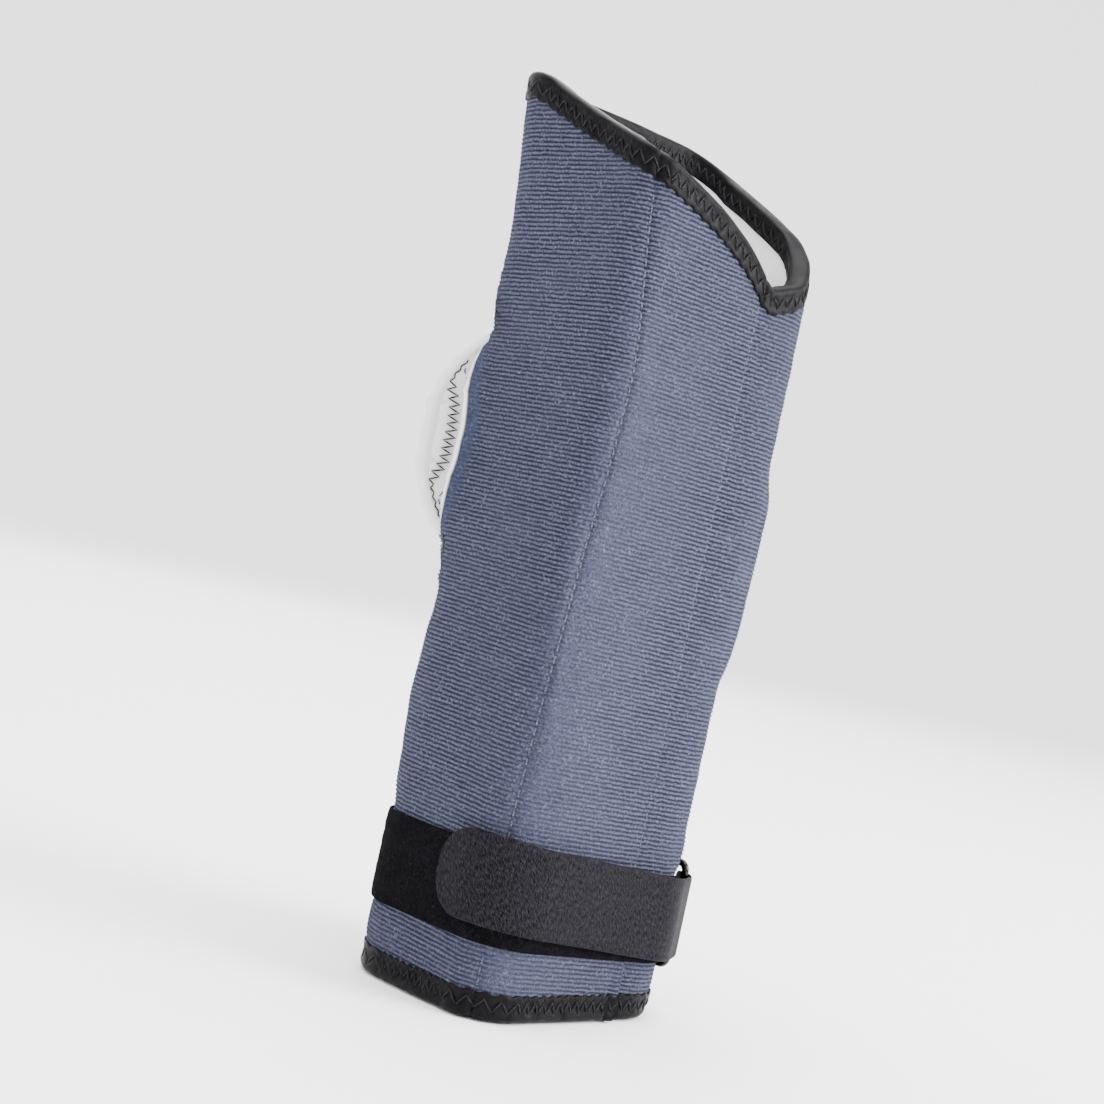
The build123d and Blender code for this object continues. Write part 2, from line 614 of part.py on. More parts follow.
def main():
    for side in SIDES:
        write(f"{side}_cover", panel_layer(COVER, side))
        foam = panel_layer(FOAM, side)
        write(f"{side}_foam", foam - foam_recess if side == "dorsal" else foam)
        write(f"{side}_lining", panel_layer(LINING, side))
        write(f"forearm_binding_{side}", forearm_binding(side))
        write(f"hand_binding_{side}", hand_binding(side))
    write("thumb_hole_facing", thumb_facing())
    write("dorsal_stay", dorsal_stay)
    write("dorsal_stay_end_caps", dorsal_caps)
    write("dorsal_stay_backing", dorsal_backing)
    write("palmar_stay", palmar_stay)
    write("palmar_stay_end_caps", palmar_caps)
    write("palmar_stay_pocket", palmar_pocket())
    strap, arrive = band()
    write("strap_band", strap)
    write("strap_fold", fold(arrive))
    tail_edges = tail_run(TAIL_NEAR, TAIL_FAR, TAIL_LEAVE, TAIL_TIP_Y)
    write("strap_tail", trimmed_tail(tail_edges, TAIL_TIP_Y, TAIL_INSET))
    write("hook_patch", hook_patch())
    write("strap_ring", ring())
    write("ring_keeper", keeper())
    strap_top = STRAP_Z + STRAP_WIDTH + BAND_RISE
    write("channel_stitches", stitch_row(channel_place, (10.0, STRAP_Z + 2), (strap_top + 1, 243.0)))
    write("seam_stitches", stitch_row(seam_place, (strap_top + 1, 218.0)))
    write("hand_binding_stitches", binding_stitches(at_hand=True))
    write("forearm_binding_stitches", binding_stitches(at_hand=False))
    write("thumb_hole_stitches", thumb_hole_stitches())
    write("strap_box_stitch", strap_box_stitch())
    write("keeper_box_stitch", keeper_box_stitch())
    write("pocket_stitches", pocket_stitches())


main()
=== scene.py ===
"""The looks of a padded wrist and hand splint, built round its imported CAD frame.

Frame: +Z towards the fingers, -Y the back of the hand, +Y the palm, -X the thumb side. Shapes are worked out
in millimetres and become metres when their mesh is made.
"""

import math

import bpy
import numpy as np
from mathutils import Matrix, Vector


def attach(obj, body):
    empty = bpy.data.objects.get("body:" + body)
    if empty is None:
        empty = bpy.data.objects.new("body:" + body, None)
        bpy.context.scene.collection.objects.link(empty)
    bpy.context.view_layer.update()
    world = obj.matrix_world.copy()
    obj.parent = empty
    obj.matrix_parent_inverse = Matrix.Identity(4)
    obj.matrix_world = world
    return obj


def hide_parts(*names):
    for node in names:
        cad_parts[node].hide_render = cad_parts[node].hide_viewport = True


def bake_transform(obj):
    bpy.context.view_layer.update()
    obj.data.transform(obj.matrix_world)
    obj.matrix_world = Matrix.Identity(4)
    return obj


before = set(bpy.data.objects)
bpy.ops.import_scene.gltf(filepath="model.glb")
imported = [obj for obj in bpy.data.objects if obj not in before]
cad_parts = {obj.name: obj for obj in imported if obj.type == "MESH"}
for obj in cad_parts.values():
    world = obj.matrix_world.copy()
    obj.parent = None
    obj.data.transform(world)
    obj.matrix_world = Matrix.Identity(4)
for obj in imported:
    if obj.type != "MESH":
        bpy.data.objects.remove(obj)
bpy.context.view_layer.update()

MM = 0.001
RNG = np.random.default_rng(7)

# ---- the sleeve's section: the same figures as the CAD
HALF_DEPTH = 33.0
HEIGHTS = np.array([0.0, 80.0, 165.0, 292.0])
HALF_WIDTHS = (43.0, 43.0, 44.5, 45.0)
CORNER_RADII = {  # thenar, dorsal-radial crease, dorsal-ulnar, palmar-ulnar
    "thenar": (20.0, 20.0, 10.0, 18.0),
    "crease": (16.0, 16.0, 12.0, 12.0),
    "dorsal": (20.0, 20.0, 19.0, 19.0),
    "palm": (20.0, 20.0, 18.0, 18.0),
}
WALL = 5.0
COVER_PLY = 0.9
SEAM_X = 14.5
SEAM_TURN = 4.0 + (SEAM_X + 27.0) / 50.0
THUMB_TURN = 1.5
HOLE_LOW, HOLE_HIGH = 134.0, 200.0
DORSAL_RIM = np.array([(-60, 289), (-47, 280), (-31, 269.5), (-15.7, 261), (0, 254.5), (15.4, 247.5),
                       (28, 238.5), (34, 232), (60, 205)], float)
PALMAR_RIM = np.array([(-60, 205), (-34.5, 232), (-30, 241), (-22, 249.5), (-10, 257.5), (5, 266), (20, 274),
                       (33, 280), (60, 291)], float)
CHANNEL_LINE = np.array([(0, 3.42), (70, 3.43), (128, 3.58), (190, 3.84), (243, 3.56), (290, 3.45)], float)

STRAP_Z, STRAP_WIDTH = 17.5, 28.0
BAND_RISE, TAIL_RISE, TAIL_INSET = 5.0, 9.5, 0.7
BAND_NEAR, BAND_THICK = 0.15, 1.45
TAIL_NEAR, TAIL_THICK = 2.95, 1.2
HOOK_THICK = 0.8
STRAP_BAR = np.array([47.3, -22.8])
KEEPER_BAR = np.array([46.2, -8.0])
RING_WIRE = 1.2


def hermite(x, xs, ys):
    """A smooth curve through the points (xs, ys), straight beyond them."""
    xs, ys = np.asarray(xs, float), np.asarray(ys, float)
    slopes = np.gradient(ys, xs)
    x = np.clip(np.asarray(x, float), xs[0], xs[-1])
    i = np.clip(np.searchsorted(xs, x, side="right") - 1, 0, len(xs) - 2)
    h = xs[i + 1] - xs[i]
    t = (x - xs[i]) / h
    a = 2 * t**3 - 3 * t**2 + 1
    b = t**3 - 2 * t**2 + t
    c = -2 * t**3 + 3 * t**2
    d = t**3 - t**2
    return a * ys[i] + b * h * slopes[i] + c * ys[i + 1] + d * h * slopes[i + 1]


def ease(t):
    """0 to 1, smooth at both ends."""
    t = np.clip(t, 0.0, 1.0)
    return t * t * (3 - 2 * t)


def section(z):
    """Half width and corner centres and radii, in order round the sleeve, at heights z."""
    a = np.interp(z, HEIGHTS, HALF_WIDTHS)
    thenar, crease, dorsal, palm = (np.interp(z, HEIGHTS, CORNER_RADII[k])
                                    for k in ("thenar", "crease", "dorsal", "palm"))
    b = HALF_DEPTH
    cx = np.stack([thenar - a, crease - a, a - dorsal, a - palm])
    cy = np.stack([b - thenar, crease - b, dorsal - b, b - palm])
    return cx, cy, np.stack([thenar, crease, dorsal, palm])


def wall(turn, z):
    """Plan points and outward normals of the sleeve.

    turn runs round it: 0-1 palm face, 1-2 thenar corner, 2-3 thumb side, 3-4 crease, 4-5 back of the hand,
    5-6 dorsal-ulnar corner, 6-7 ulnar side, 7-8 palmar-ulnar corner.
    """
    turn, z = np.broadcast_arrays(np.asarray(turn, float), np.asarray(z, float))
    cx, cy, r = section(z)
    t = np.mod(turn, 8.0)
    face = np.minimum((t // 2).astype(int), 3)
    part = t - 2 * face
    pick = lambda arr, k: np.take_along_axis(arr, (k % 4)[None], axis=0)[0]
    on_line = np.clip(part, 0, 1)
    angle = np.radians(90.0 + 90.0 * face + 90.0 * np.clip(part - 1, 0, 1))
    x0, y0, r0 = pick(cx, face - 1), pick(cy, face - 1), pick(r, face - 1)
    x1, y1, r1 = pick(cx, face), pick(cy, face), pick(r, face)
    nx, ny = np.cos(angle), np.sin(angle)
    x = x0 + (x1 - x0) * on_line + (r0 + (r1 - r0) * on_line) * nx
    y = y0 + (y1 - y0) * on_line + (r0 + (r1 - r0) * on_line) * ny
    return x, y, nx, ny


def girth(turn, z):
    """Length round the sleeve from turn 0, at heights z."""
    turn, z = np.broadcast_arrays(np.asarray(turn, float), np.asarray(z, float))
    cx, cy, r = section(z)
    spans = []
    for k in range(4):
        before = k - 1
        spans.append(np.hypot(cx[k] - cx[before], cy[k] - cy[before]))
        spans.append(r[k] * math.pi / 2)
    total = sum(spans)
    laps = np.floor(turn / 8.0)
    t = turn - 8.0 * laps
    length = laps * total
    for k, span in enumerate(spans):
        length = length + span * np.clip(t - k, 0, 1)
    return length


# ---- how the soft sleeve departs from the plain section
THUMB_CORNER_SWELL = np.array([(0, -0.6), (14, 0.4), (35, 0.0), (54, 0.2), (66, 1.2), (78, 2.0), (101, 0.2),
                               (119, -1.9), (128, -1.2), (138, 0.0), (165, 0.0), (190, -1.5), (200, -3.4),
                               (211, -2.2), (232, -1.5), (253, 0.7), (269, 2.6), (290, 3.4)], float)
ULNAR_CORNER_SWELL = np.array([(0, -1.2), (14, -0.2), (35, 0.0), (62, 0.6), (100, 1.0), (126, 1.5),
                               (190, 1.3), (220, 0.8), (232, 0.2), (240, -0.8), (290, -1.0)], float)


def hole_opening(z):
    """0 at the ends of the thumb hole, 1 at its middle."""
    w = np.clip((z - HOLE_LOW) / (HOLE_HIGH - HOLE_LOW), 0, 1)
    return np.power(np.clip(1 - (2 * w - 1) ** 2, 0, 1), 0.75)


def near_edge(z):
    """Turn of the dorsal panel's thumb-side edge."""
    return THUMB_TURN + 0.57 * hole_opening(z)


def far_edge(z):
    """Turn of the palmar panel's thumb-side edge."""
    return 8.0 + THUMB_TURN - 0.53 * hole_opening(z)


def channel_turn(z):
    """Turn of the stitch line along the dorsal stay's channel."""
    return hermite(z, CHANNEL_LINE[:, 0], CHANNEL_LINE[:, 1])


def strap_centre(x, rise):
    """Height of the middle of the strap at a plan x."""
    low_x, high_x = -48.2, STRAP_BAR[0] + 2
    return STRAP_Z + STRAP_WIDTH / 2 + rise * np.clip((high_x - x) / (high_x - low_x), 0, 1)


def waves(a, b, seed, count=6, shortest=24.0, longest=70.0):
    """Gentle, repeatable unevenness between about -1 and 1 over two lengths in millimetres."""
    rng = np.random.default_rng(seed)
    total = np.zeros(np.broadcast(a, b).shape)
    for _ in range(count):
        size = rng.uniform(shortest, longest)
        angle, phase = rng.uniform(0, math.pi), rng.uniform(0, 2 * math.pi)
        total = total + np.sin(2 * math.pi * (a * math.cos(angle) + b * math.sin(angle)) / size + phase)
    return total / math.sqrt(count) / 1.4


def bump(t):
    """A smooth hump: 1 at 0, 0 beyond -1 and 1."""
    return ease(1 - np.abs(t))


def bell(distance, width):
    """A hump that fades away softly: 1 at no distance, a third at the width."""
    return np.exp(-((distance / width) ** 2))


def ring_faces(rings, around):
    """Quads between neighbouring rings of points, each ring closed on itself."""
    faces = []
    for i in range(rings - 1):
        for k in range(around):
            a, b = i * around + k, i * around + (k + 1) % around
            faces.append((a, b, b + around, a + around))
    return faces


PILLOW_COLUMNS, PILLOW_ROWS, PILLOW_CAP = 96, 56, 1.5
PILLOW_LOW, PILLOW_HIGH = 9.0, 229.0


def simulate_pillow():
    """How far the padded cloth swells between its seams, in millimetres over (height, turn).

    A tube of cloth over the sleeve's plain shape is held at its ends, seams, stay channel and strap, and
    blown up a little.
    """
    turns = np.linspace(0, 8, PILLOW_COLUMNS, endpoint=False)[None]
    heights = np.linspace(PILLOW_LOW, PILLOW_HIGH, PILLOW_ROWS)[:, None]
    x, y, nx, ny = wall(turns, heights)
    z = heights + 0 * turns
    points = np.stack([x, y, z], axis=-1).reshape(-1, 3)
    normals = np.stack([nx, ny, 0 * z], axis=-1).reshape(-1, 3)
    faces = [(b, a, d, c) for a, b, c, d in ring_faces(PILLOW_ROWS, PILLOW_COLUMNS)]
    mesh = bpy.data.meshes.new("pillow_trial")
    mesh.from_pydata((points * MM).tolist(), [], faces)
    trial = bpy.data.objects.new("pillow_trial", mesh)
    bpy.context.scene.collection.objects.link(trial)
    near = lambda line: np.abs(turns - line) < 0.06
    held = near(SEAM_TURN) | near(channel_turn(heights)) | near(THUMB_TURN)
    held = held | (heights < PILLOW_LOW + 1) | (heights > PILLOW_HIGH - 1) | ((heights > 18) & (heights < 50))
    pins = trial.vertex_groups.new(name="pins")
    pins.add([int(v) for v in np.flatnonzero(held.ravel())], 1.0, "REPLACE")
    cloth = trial.modifiers.new("Cloth", "CLOTH")
    cloth.settings.quality = 6
    cloth.settings.mass = 0.3
    cloth.settings.vertex_group_mass = "pins"
    cloth.settings.use_pressure = True
    cloth.settings.uniform_pressure_force = 4.0
    cloth.settings.effector_weights.gravity = 0.0
    cloth.point_cache.frame_end = 20
    for frame_number in range(1, 21):
        bpy.context.scene.frame_set(frame_number)
    settled = trial.evaluated_get(bpy.context.evaluated_depsgraph_get()).to_mesh()
    moved = np.zeros(len(points) * 3, np.float32)
    settled.vertices.foreach_get("co", moved)
    swell = ((moved.reshape(-1, 3) / MM - points) * normals).sum(axis=1)
    bpy.data.objects.remove(trial)
    bpy.data.meshes.remove(mesh)
    bpy.context.scene.frame_set(1)
    swell = swell.reshape(PILLOW_ROWS, PILLOW_COLUMNS)
    for _ in range(3):  # the foam behind the cloth rounds its creases off
        swell = (np.roll(swell, 1, axis=1) + 2 * swell + np.roll(swell, -1, axis=1)) / 4
        swell[1:-1] = (swell[:-2] + 2 * swell[1:-1] + swell[2:]) / 4
    return np.clip(swell * PILLOW_CAP / max(float(np.percentile(swell, 98)), 0.1), -0.3, PILLOW_CAP)


PILLOW = simulate_pillow()


def pillow(turn, z):
    """The simulated swell at a turn and height, or plain bellied faces when the simulation is skipped."""
    t = np.mod(turn, 8.0)
    if PILLOW is None:
        belly = lambda k, size: size * np.where((t > k) & (t < k + 1), 4 * (t - k) * (k + 1 - t), 0)
        return belly(0, 1.3) + belly(2, 0.9) + belly(6, 1.2)
    column = t / 8 * PILLOW_COLUMNS
    row = np.clip((z - PILLOW_LOW) / (PILLOW_HIGH - PILLOW_LOW), 0, 1) * (PILLOW_ROWS - 1.001)
    c, r = np.floor(column).astype(int), np.floor(row).astype(int)
    u, v = column - c, row - r
    c, d = c % PILLOW_COLUMNS, (c + 1) % PILLOW_COLUMNS
    near_rows = PILLOW[r, c] * (1 - u) + PILLOW[r, d] * u
    far_rows = PILLOW[r + 1, c] * (1 - u) + PILLOW[r + 1, d] * u
    return near_rows * (1 - v) + far_rows * v


def outer(side, turn, z):
    """Plan points of the soft sleeve's outer surface."""
    turn, z = np.broadcast_arrays(np.asarray(turn, float), np.asarray(z, float))
    x, y, nx, ny = wall(turn, z)
    t = np.mod(turn, 8.0)
    length = girth(turn, z)
    out = np.zeros(t.shape)
    # soft faces belly out between their corners; the stay keeps the back of the hand flat
    out += pillow(turn, z) * (1 - 0.8 * bump((t - 4.5) / 0.9)) * (1 - 0.7 * bump((t - 1.5) / 0.6))
    out += hermite(z, *THUMB_CORNER_SWELL.T) * bump((t - 1.5) / 1.35)
    out += hermite(z, *ULNAR_CORNER_SWELL.T) * bump((t - 5.5) / 1.1)
    limp = 1 - 0.75 * bump((t - 4.5) / 0.75)
    out += 0.34 * limp * waves(length, z, seed=3)
    out += 0.13 * limp * waves(length, z, seed=4, count=8, shortest=9.0, longest=20.0)
    # stitched channel, the soft ridge beside it and the lapped seam
    from_channel = length - girth(channel_turn(z), z)
    from_seam = length - girth(SEAM_TURN, z)
    out += -0.75 * bell(from_channel, 0.95) * (t < 6) * (t > 2)
    out += 0.55 * bell(from_channel + 6.0, 4.5) + 0.25 * bell(from_channel - 4.0, 2.5)
    if side == "dorsal":
        out += 0.30 * bell(from_seam, 2.2) - 0.45 * bell(from_seam + 3.3, 0.9)
    else:
        out += -0.55 * bell(from_seam, 3.0)
    # crushed cloth under the web of the thumb
    web = bell(z - 207.0, 12.0) * bell(np.maximum(length - girth(1.6, z), 0), 16.0)
    out += 0.55 * web * np.sin(2 * math.pi * (z + 0.25 * length) / 4.6) * (t < 4)
    base = bell(z - 124.0, 9.0) * bell(np.maximum(length - girth(1.5, z), 0), 20.0)
    out += 0.35 * base * np.sin(2 * math.pi * (z - 0.35 * length) / 7.5) * (t < 4)
    # bindings draw the edges in
    out += -0.5 * np.exp(-np.clip(z - 8.0, 0, None) / 5.0)
    # the strap presses the cloth in, and it stands up again beside it
    away = np.abs(z - strap_centre(x, BAND_RISE)) - STRAP_WIDTH / 2
    pressed = ease((3.0 - away) / 4.0) * np.where((t > 6.2) & (t < 8), 0.0, 1.0)
    out = out * (1 - pressed) - 0.15 * pressed
    out += 0.45 * limp * bell(away - 9.0, 5.0)
    # the slit below the strap on the little-finger side
    slit = ease((30.0 - z) / 16.0)
    if side == "dorsal":
        out += 0.9 * slit * np.clip(1 + from_seam / 9.0, 0, 1) ** 2
    else:
        out += -1.6 * slit * np.clip(1 - from_seam / 12.0, 0, 1) ** 2
    x, y = x + out * nx, y + out * ny
    # lips of the thumb hole
    opening = hole_opening(z)
    if side == "dorsal":
        q = length - girth(near_edge(z), z)
        lip = 4.2 * opening * np.clip(1 - q / 8.5, 0, 1) ** 2
        x, y = x + lip * nx, y + lip * ny
    else:
        q = girth(far_edge(z), z) - length
        lip = opening * np.clip(1 - q / 30.0, 0, 1) ** 2
        x, y = x - 8.5 * lip, y + 13.0 * lip
    return x, y


def place(side, turn, z, out):
    """Points at a distance out from the soft sleeve's outer surface, as an (..., 3) array."""
    turn, z, out = np.broadcast_arrays(*(np.asarray(v, float) for v in (turn, z, out)))
    step = 0.012
    x, y = outer(side, turn, z)
    xa, ya = outer(side, turn - step, z)
    xb, yb = outer(side, turn + step, z)
    tx, ty = xb - xa, yb - ya
    size = np.hypot(tx, ty)
    return np.stack([x + out * ty / size, y - out * tx / size, z], axis=-1)


RIM_LEVEL, RIM_JOINT_REACH = 240.0, 8.0


def rim(side, turn):
    """Height of the hand opening's edge at a turn. The palmar edge bends to meet the dorsal one."""
    x, y, _, _ = wall(turn, RIM_LEVEL)
    if side == "dorsal":
        return hermite((x - y) * math.sqrt(0.5), *DORSAL_RIM.T)
    height = hermite(y, *PALMAR_RIM.T)
    for joint in (SEAM_TURN, 8.0 + THUMB_TURN):
        _, y_joint, _, _ = wall(joint, RIM_LEVEL)
        step = rim("dorsal", joint) - hermite(y_joint, *PALMAR_RIM.T)
        height = height + step * bell(girth(turn, RIM_LEVEL) - girth(joint, RIM_LEVEL), RIM_JOINT_REACH)
    return height


# ---- mesh making
def make_object(name, points, faces, material, uv=None, marks=None, sharp=50.0):
    """A smooth-shaded mesh from points in millimetres. marks holds each point's fray, worn and painted crease
    shade.
    """
    mesh = bpy.data.meshes.new(name)
    mesh.from_pydata((np.asarray(points) * MM).tolist(), [], faces)
    if uv is not None:
        layer = mesh.uv_layers.new(name="cloth")
        loops = np.zeros(len(mesh.loops), dtype=np.int32)
        mesh.loops.foreach_get("vertex_index", loops)
        layer.data.foreach_set("uv", np.asarray(uv)[loops].astype(np.float32).ravel())
    if marks is not None:
        # the third mark is painted shade in the knit's creases
        for k, mark in enumerate(("fray", "worn", "crease_shade")):
            values = np.ascontiguousarray(np.asarray(marks, np.float32)[:, k])
            mesh.attributes.new(mark, "FLOAT", "POINT").data.foreach_set("value", values)
    mesh.polygons.foreach_set("use_smooth", [True] * len(mesh.polygons))
    mesh.set_sharp_from_angle(angle=math.radians(sharp))
    mesh.materials.append(material)
    obj = bpy.data.objects.new(name, mesh)
    bpy.context.scene.collection.objects.link(obj)
    return obj


def ring_sweep(rings):
    """Points and faces of a closed body swept through (stations, around, 3) rings, with flat ends."""
    stations, around = rings.shape[:2]
    count = stations * around
    ends = [tuple(reversed(range(around))), tuple(range(count - around, count))]
    return rings.reshape(-1, 3), ring_faces(stations, around) + ends


def close_sheet(front, back, low, high, uv=None, marks=None):
    """Points and faces of a closed sheet between two (rows, columns, 3) grids.

    Rows below low[column] and above high[column] are gathered into that row, which trims a slanted edge.
    """
    rows, cols = front.shape[:2]
    row = np.clip(np.arange(rows)[:, None], low[None], high[None])
    index = row * cols + np.arange(cols)[None]
    quads = np.stack([index[:-1, :-1], index[:-1, 1:], index[1:, 1:], index[1:, :-1]], axis=-1).reshape(-1, 4)
    left, right = quads[:, 0] == quads[:, 3], quads[:, 1] == quads[:, 2]
    whole = quads[~left & ~right]
    faces = [tuple(f) for f in whole.tolist()]
    faces += [(a, b, c) for a, b, c, _ in quads[left & ~right].tolist()]
    faces += [(a, b, d) for a, b, _, d in quads[~left & right].tolist()]
    shift = rows * cols
    edges = {}
    for f in faces:
        for k, a in enumerate(f):
            edges[(a, f[(k + 1) % len(f)])] = True
    rimmed = [(a, b) for (a, b) in edges if (b, a) not in edges]
    back_faces = [tuple(v + shift for v in reversed(f)) for f in faces]
    walls = [(b, a, a + shift, b + shift) for a, b in rimmed]
    points = np.concatenate([front.reshape(-1, 3), back.reshape(-1, 3)])
    every = faces + back_faces + walls
    used = np.unique(np.array([v for f in every for v in f]))
    renumber = np.zeros(len(points), dtype=np.int64)
    renumber[used] = np.arange(len(used))
    every = [tuple(renumber[list(f)].tolist()) for f in every]
    both = lambda values, n: None if values is None else np.concatenate([values.reshape(-1, n)] * 2)[used]
    return points[used], every, both(uv, 2), both(marks, 3)


def tube(points, radius, sides=6):
    """Points and faces of a round thread that follows a path."""
    points = np.asarray(points, float)
    tangents = np.gradient(points, axis=0)
    tangents /= np.linalg.norm(tangents, axis=1)[:, None]
    guide = np.array([0.3, 0.2, 0.93])
    rings = []
    for p, t in zip(points, tangents):
        u = np.cross(t, guide)
        if np.linalg.norm(u) < 1e-3:
            u = np.cross(t, [1.0, 0, 0])
        u /= np.linalg.norm(u)
        v = np.cross(t, u)
        guide = np.cross(u, t)
        angles = 2 * math.pi * np.arange(sides) / sides
        rings.append(p + radius * (np.cos(angles)[:, None] * u + np.sin(angles)[:, None] * v))
    return ring_sweep(np.stack(rings))


def join(parts):
    """Several (points, faces) as one."""
    points, faces, start = [], [], 0
    for p, f in parts:
        points.append(p)
        faces += [tuple(v + start for v in face) for face in f]
        start += len(p)
    return np.concatenate(points), faces


# ---- materials
class Nodes:
    """A small helper that builds one procedural material."""

    def __init__(self, name):
        self.material = bpy.data.materials.new(name)
        self.material.use_nodes = True
        self.tree = self.material.node_tree
        self.tree.nodes.clear()
        self.out = self.tree.nodes.new("ShaderNodeOutputMaterial")
        self.shader = self.tree.nodes.new("ShaderNodeBsdfPrincipled")
        self.tree.links.new(self.shader.outputs[0], self.out.inputs[0])
        self.coords = self.tree.nodes.new("ShaderNodeTexCoord")

    def add(self, kind, inputs=None, **settings):
        node = self.tree.nodes.new(kind)
        for key, value in settings.items():
            setattr(node, key, value)
        for key, value in (inputs or {}).items():
            self.put(node.inputs[key], value)
        return node

    def put(self, socket, value):
        if isinstance(value, bpy.types.NodeSocket):
            self.tree.links.new(value, socket)
        elif isinstance(value, (tuple, list)) and len(value) == 3 and socket.type == "RGBA":
            socket.default_value = (*value, 1.0)
        else:
            socket.default_value = value

    def set(self, **values):
        for key, value in values.items():
            self.put(self.shader.inputs[key.replace("_", " ")], value)

    def stretched(self, scale=(1, 1, 1)):
        """The object's own coordinates, scaled."""
        return self.scaled(self.coords.outputs["Object"], scale)

    def scaled(self, vector, scale):
        return self.add("ShaderNodeMapping", {"Vector": vector, "Scale": scale}).outputs[0]

    def noise(self, vector, scale, detail=3.0, rough=0.55):
        return self.add("ShaderNodeTexNoise",
                        {"Vector": vector, "Scale": scale, "Detail": detail, "Roughness": rough}).outputs[0]

    def math(self, operation, a, b=0.0, clamp=False):
        node = self.add("ShaderNodeMath", operation=operation, use_clamp=clamp)
        self.put(node.inputs[0], a)
        self.put(node.inputs[1], b)
        return node.outputs[0]

    def remap(self, value, low, high, to_low=0.0, to_high=1.0):
        node = self.add("ShaderNodeMapRange", {"Value": value, "From Min": low, "From Max": high,
                                                "To Min": to_low, "To Max": to_high})
        return node.outputs[0]

    def mix(self, factor, a, b):
        node = self.add("ShaderNodeMix", data_type="RGBA")
        self.put(node.inputs[0], factor)
        self.put(node.inputs[6], a)
        self.put(node.inputs[7], b)
        return node.outputs[2]

    def bump(self, height, distance, strength=1.0):
        node = self.add("ShaderNodeBump", {"Height": height, "Distance": distance, "Strength": strength})
        self.put(self.shader.inputs["Normal"], node.outputs[0])


RIB = 1.35


def knit_material():
    """Blue-grey ribbed knit with brushed loops: painted light along each rib's crest and on one side of each
    loop, painted shade between ribs.
    """
    m = Nodes("ribbed_loop_knit")
    uv = m.add("ShaderNodeUVMap", uv_map="cloth").outputs[0]
    mark = lambda name: m.add("ShaderNodeAttribute", attribute_name=name).outputs["Fac"]
    fray, worn, crease_shade = mark("fray"), mark("worn"), mark("crease_shade")
    split = m.add("ShaderNodeSeparateXYZ", {"Vector": uv})
    along, row = split.outputs[0], split.outputs[1]
    stray = m.noise(m.scaled(uv, (0.30, 0.5, 1.0)), 1.0, 2.0)
    wander = m.math("ADD", row, m.remap(stray, 0.3, 0.7, -0.14, 0.14))
    crest = m.remap(m.math("COSINE", m.math("MULTIPLY", wander, 2 * math.pi)), -0.85, 0.9)
    loops = m.noise(m.scaled(uv, (0.92, 1.25, 1.0)), 1.0, 3.0, 0.75)
    # each loop leans over the next one along its rib; one side of each loop is painted lighter and the other
    # darker, as light and shade
    lean = m.math("ADD", m.math("MULTIPLY", along, 1 / 1.35), m.math("MULTIPLY", row, 0.62))
    lean = m.math("ADD", lean, m.math("MULTIPLY", stray, 2.6))
    loop_side_shade = m.remap(m.math("SINE", m.math("MULTIPLY", lean, 2 * math.pi)), -0.8, 0.8)
    fluff = m.noise(m.stretched(), 1900.0, 3.0, 0.75)
    fibre_glint = m.noise(m.stretched(), 1150.0, 1.0)
    wear = m.noise(m.stretched((1, 1, 0.45)), 24.0, 4.0, 0.6)
    broken = m.remap(loops, 0.36, 0.64)
    tone = m.math("ADD", m.math("MULTIPLY", broken, 0.46), m.math("MULTIPLY", loop_side_shade, 0.30))
    tone = m.math("ADD", tone, 0.24)
    # painted light on each rib's crest and painted shade in the grooves between ribs, broken up by the loops
    rib_light_and_shade = m.math("MULTIPLY", crest, tone, clamp=True)
    matted = m.math("MULTIPLY", m.remap(fluff, 0.36, 0.64), 0.45)
    matted = m.math("ADD", matted, m.math("MULTIPLY", broken, 0.36))
    soft = m.math("ADD", m.math("MULTIPLY", worn, 0.8), m.math("MULTIPLY", fray, 0.7), clamp=True)
    blend = m.add("ShaderNodeMix", data_type="FLOAT")
    m.put(blend.inputs[0], soft)
    m.put(blend.inputs[2], rib_light_and_shade)
    m.put(blend.inputs[3], matted)
    light_part = blend.outputs[0]
    # dark is mostly the painted shade between ribs and light mostly the painted light on rib crests; worn and
    # frayed patches mix them at random
    dark, light = (0.0090, 0.0102, 0.0215), (0.094, 0.101, 0.156)
    colour = m.mix(light_part, dark, light)
    colour = m.mix(m.remap(wear, 0.35, 0.70, 0.0, 0.28), colour, (0.027, 0.029, 0.048))
    # painted highlights: bright specks of stray fibres catching the light
    colour = m.mix(m.remap(fibre_glint, 0.60, 0.78, 0.0, 0.55), colour, (0.150, 0.158, 0.215))
    colour = m.mix(m.math("MULTIPLY", fray, 0.30), colour, (0.014, 0.026, 0.058))
    # painted shade: the knit darkens in the creases at the web and the foot of the thumb
    colour = m.mix(m.math("MULTIPLY", crease_shade, 0.75), colour, (0.006, 0.0065, 0.012))
    m.set(Base_Color=colour, Roughness=0.95, Sheen_Weight=0.05, Sheen_Roughness=0.6,
          Sheen_Tint=(0.62, 0.66, 0.85), Specular_IOR_Level=0.06)
    height = m.math("ADD", m.math("MULTIPLY", crest, 0.25), m.math("MULTIPLY", loops, 0.8))
    height = m.math("ADD", height, m.math("MULTIPLY", fluff, 0.7))
    m.bump(height, 0.0005, 1.0)
    return m.material


def lining_material(name="brushed_lining", tint=(0.86, 0.86, 0.85)):
    """White brushed tricot."""
    m = Nodes(name)
    nap = m.noise(m.stretched((1, 1, 0.35)), 1500.0, 4.0, 0.7)
    broad = m.noise(m.stretched(), 45.0, 3.0)
    colour = m.mix(m.remap(broad, 0.3, 0.7, 0.0, 0.35), tint, tuple(0.90 * c for c in tint))
    colour = m.mix(m.remap(nap, 0.35, 0.7, 0.0, 0.25), colour, (0.72, 0.72, 0.74))
    m.set(Base_Color=colour, Roughness=0.95, Sheen_Weight=0.3)
    m.bump(nap, 0.0004, 0.6)
    return m.material


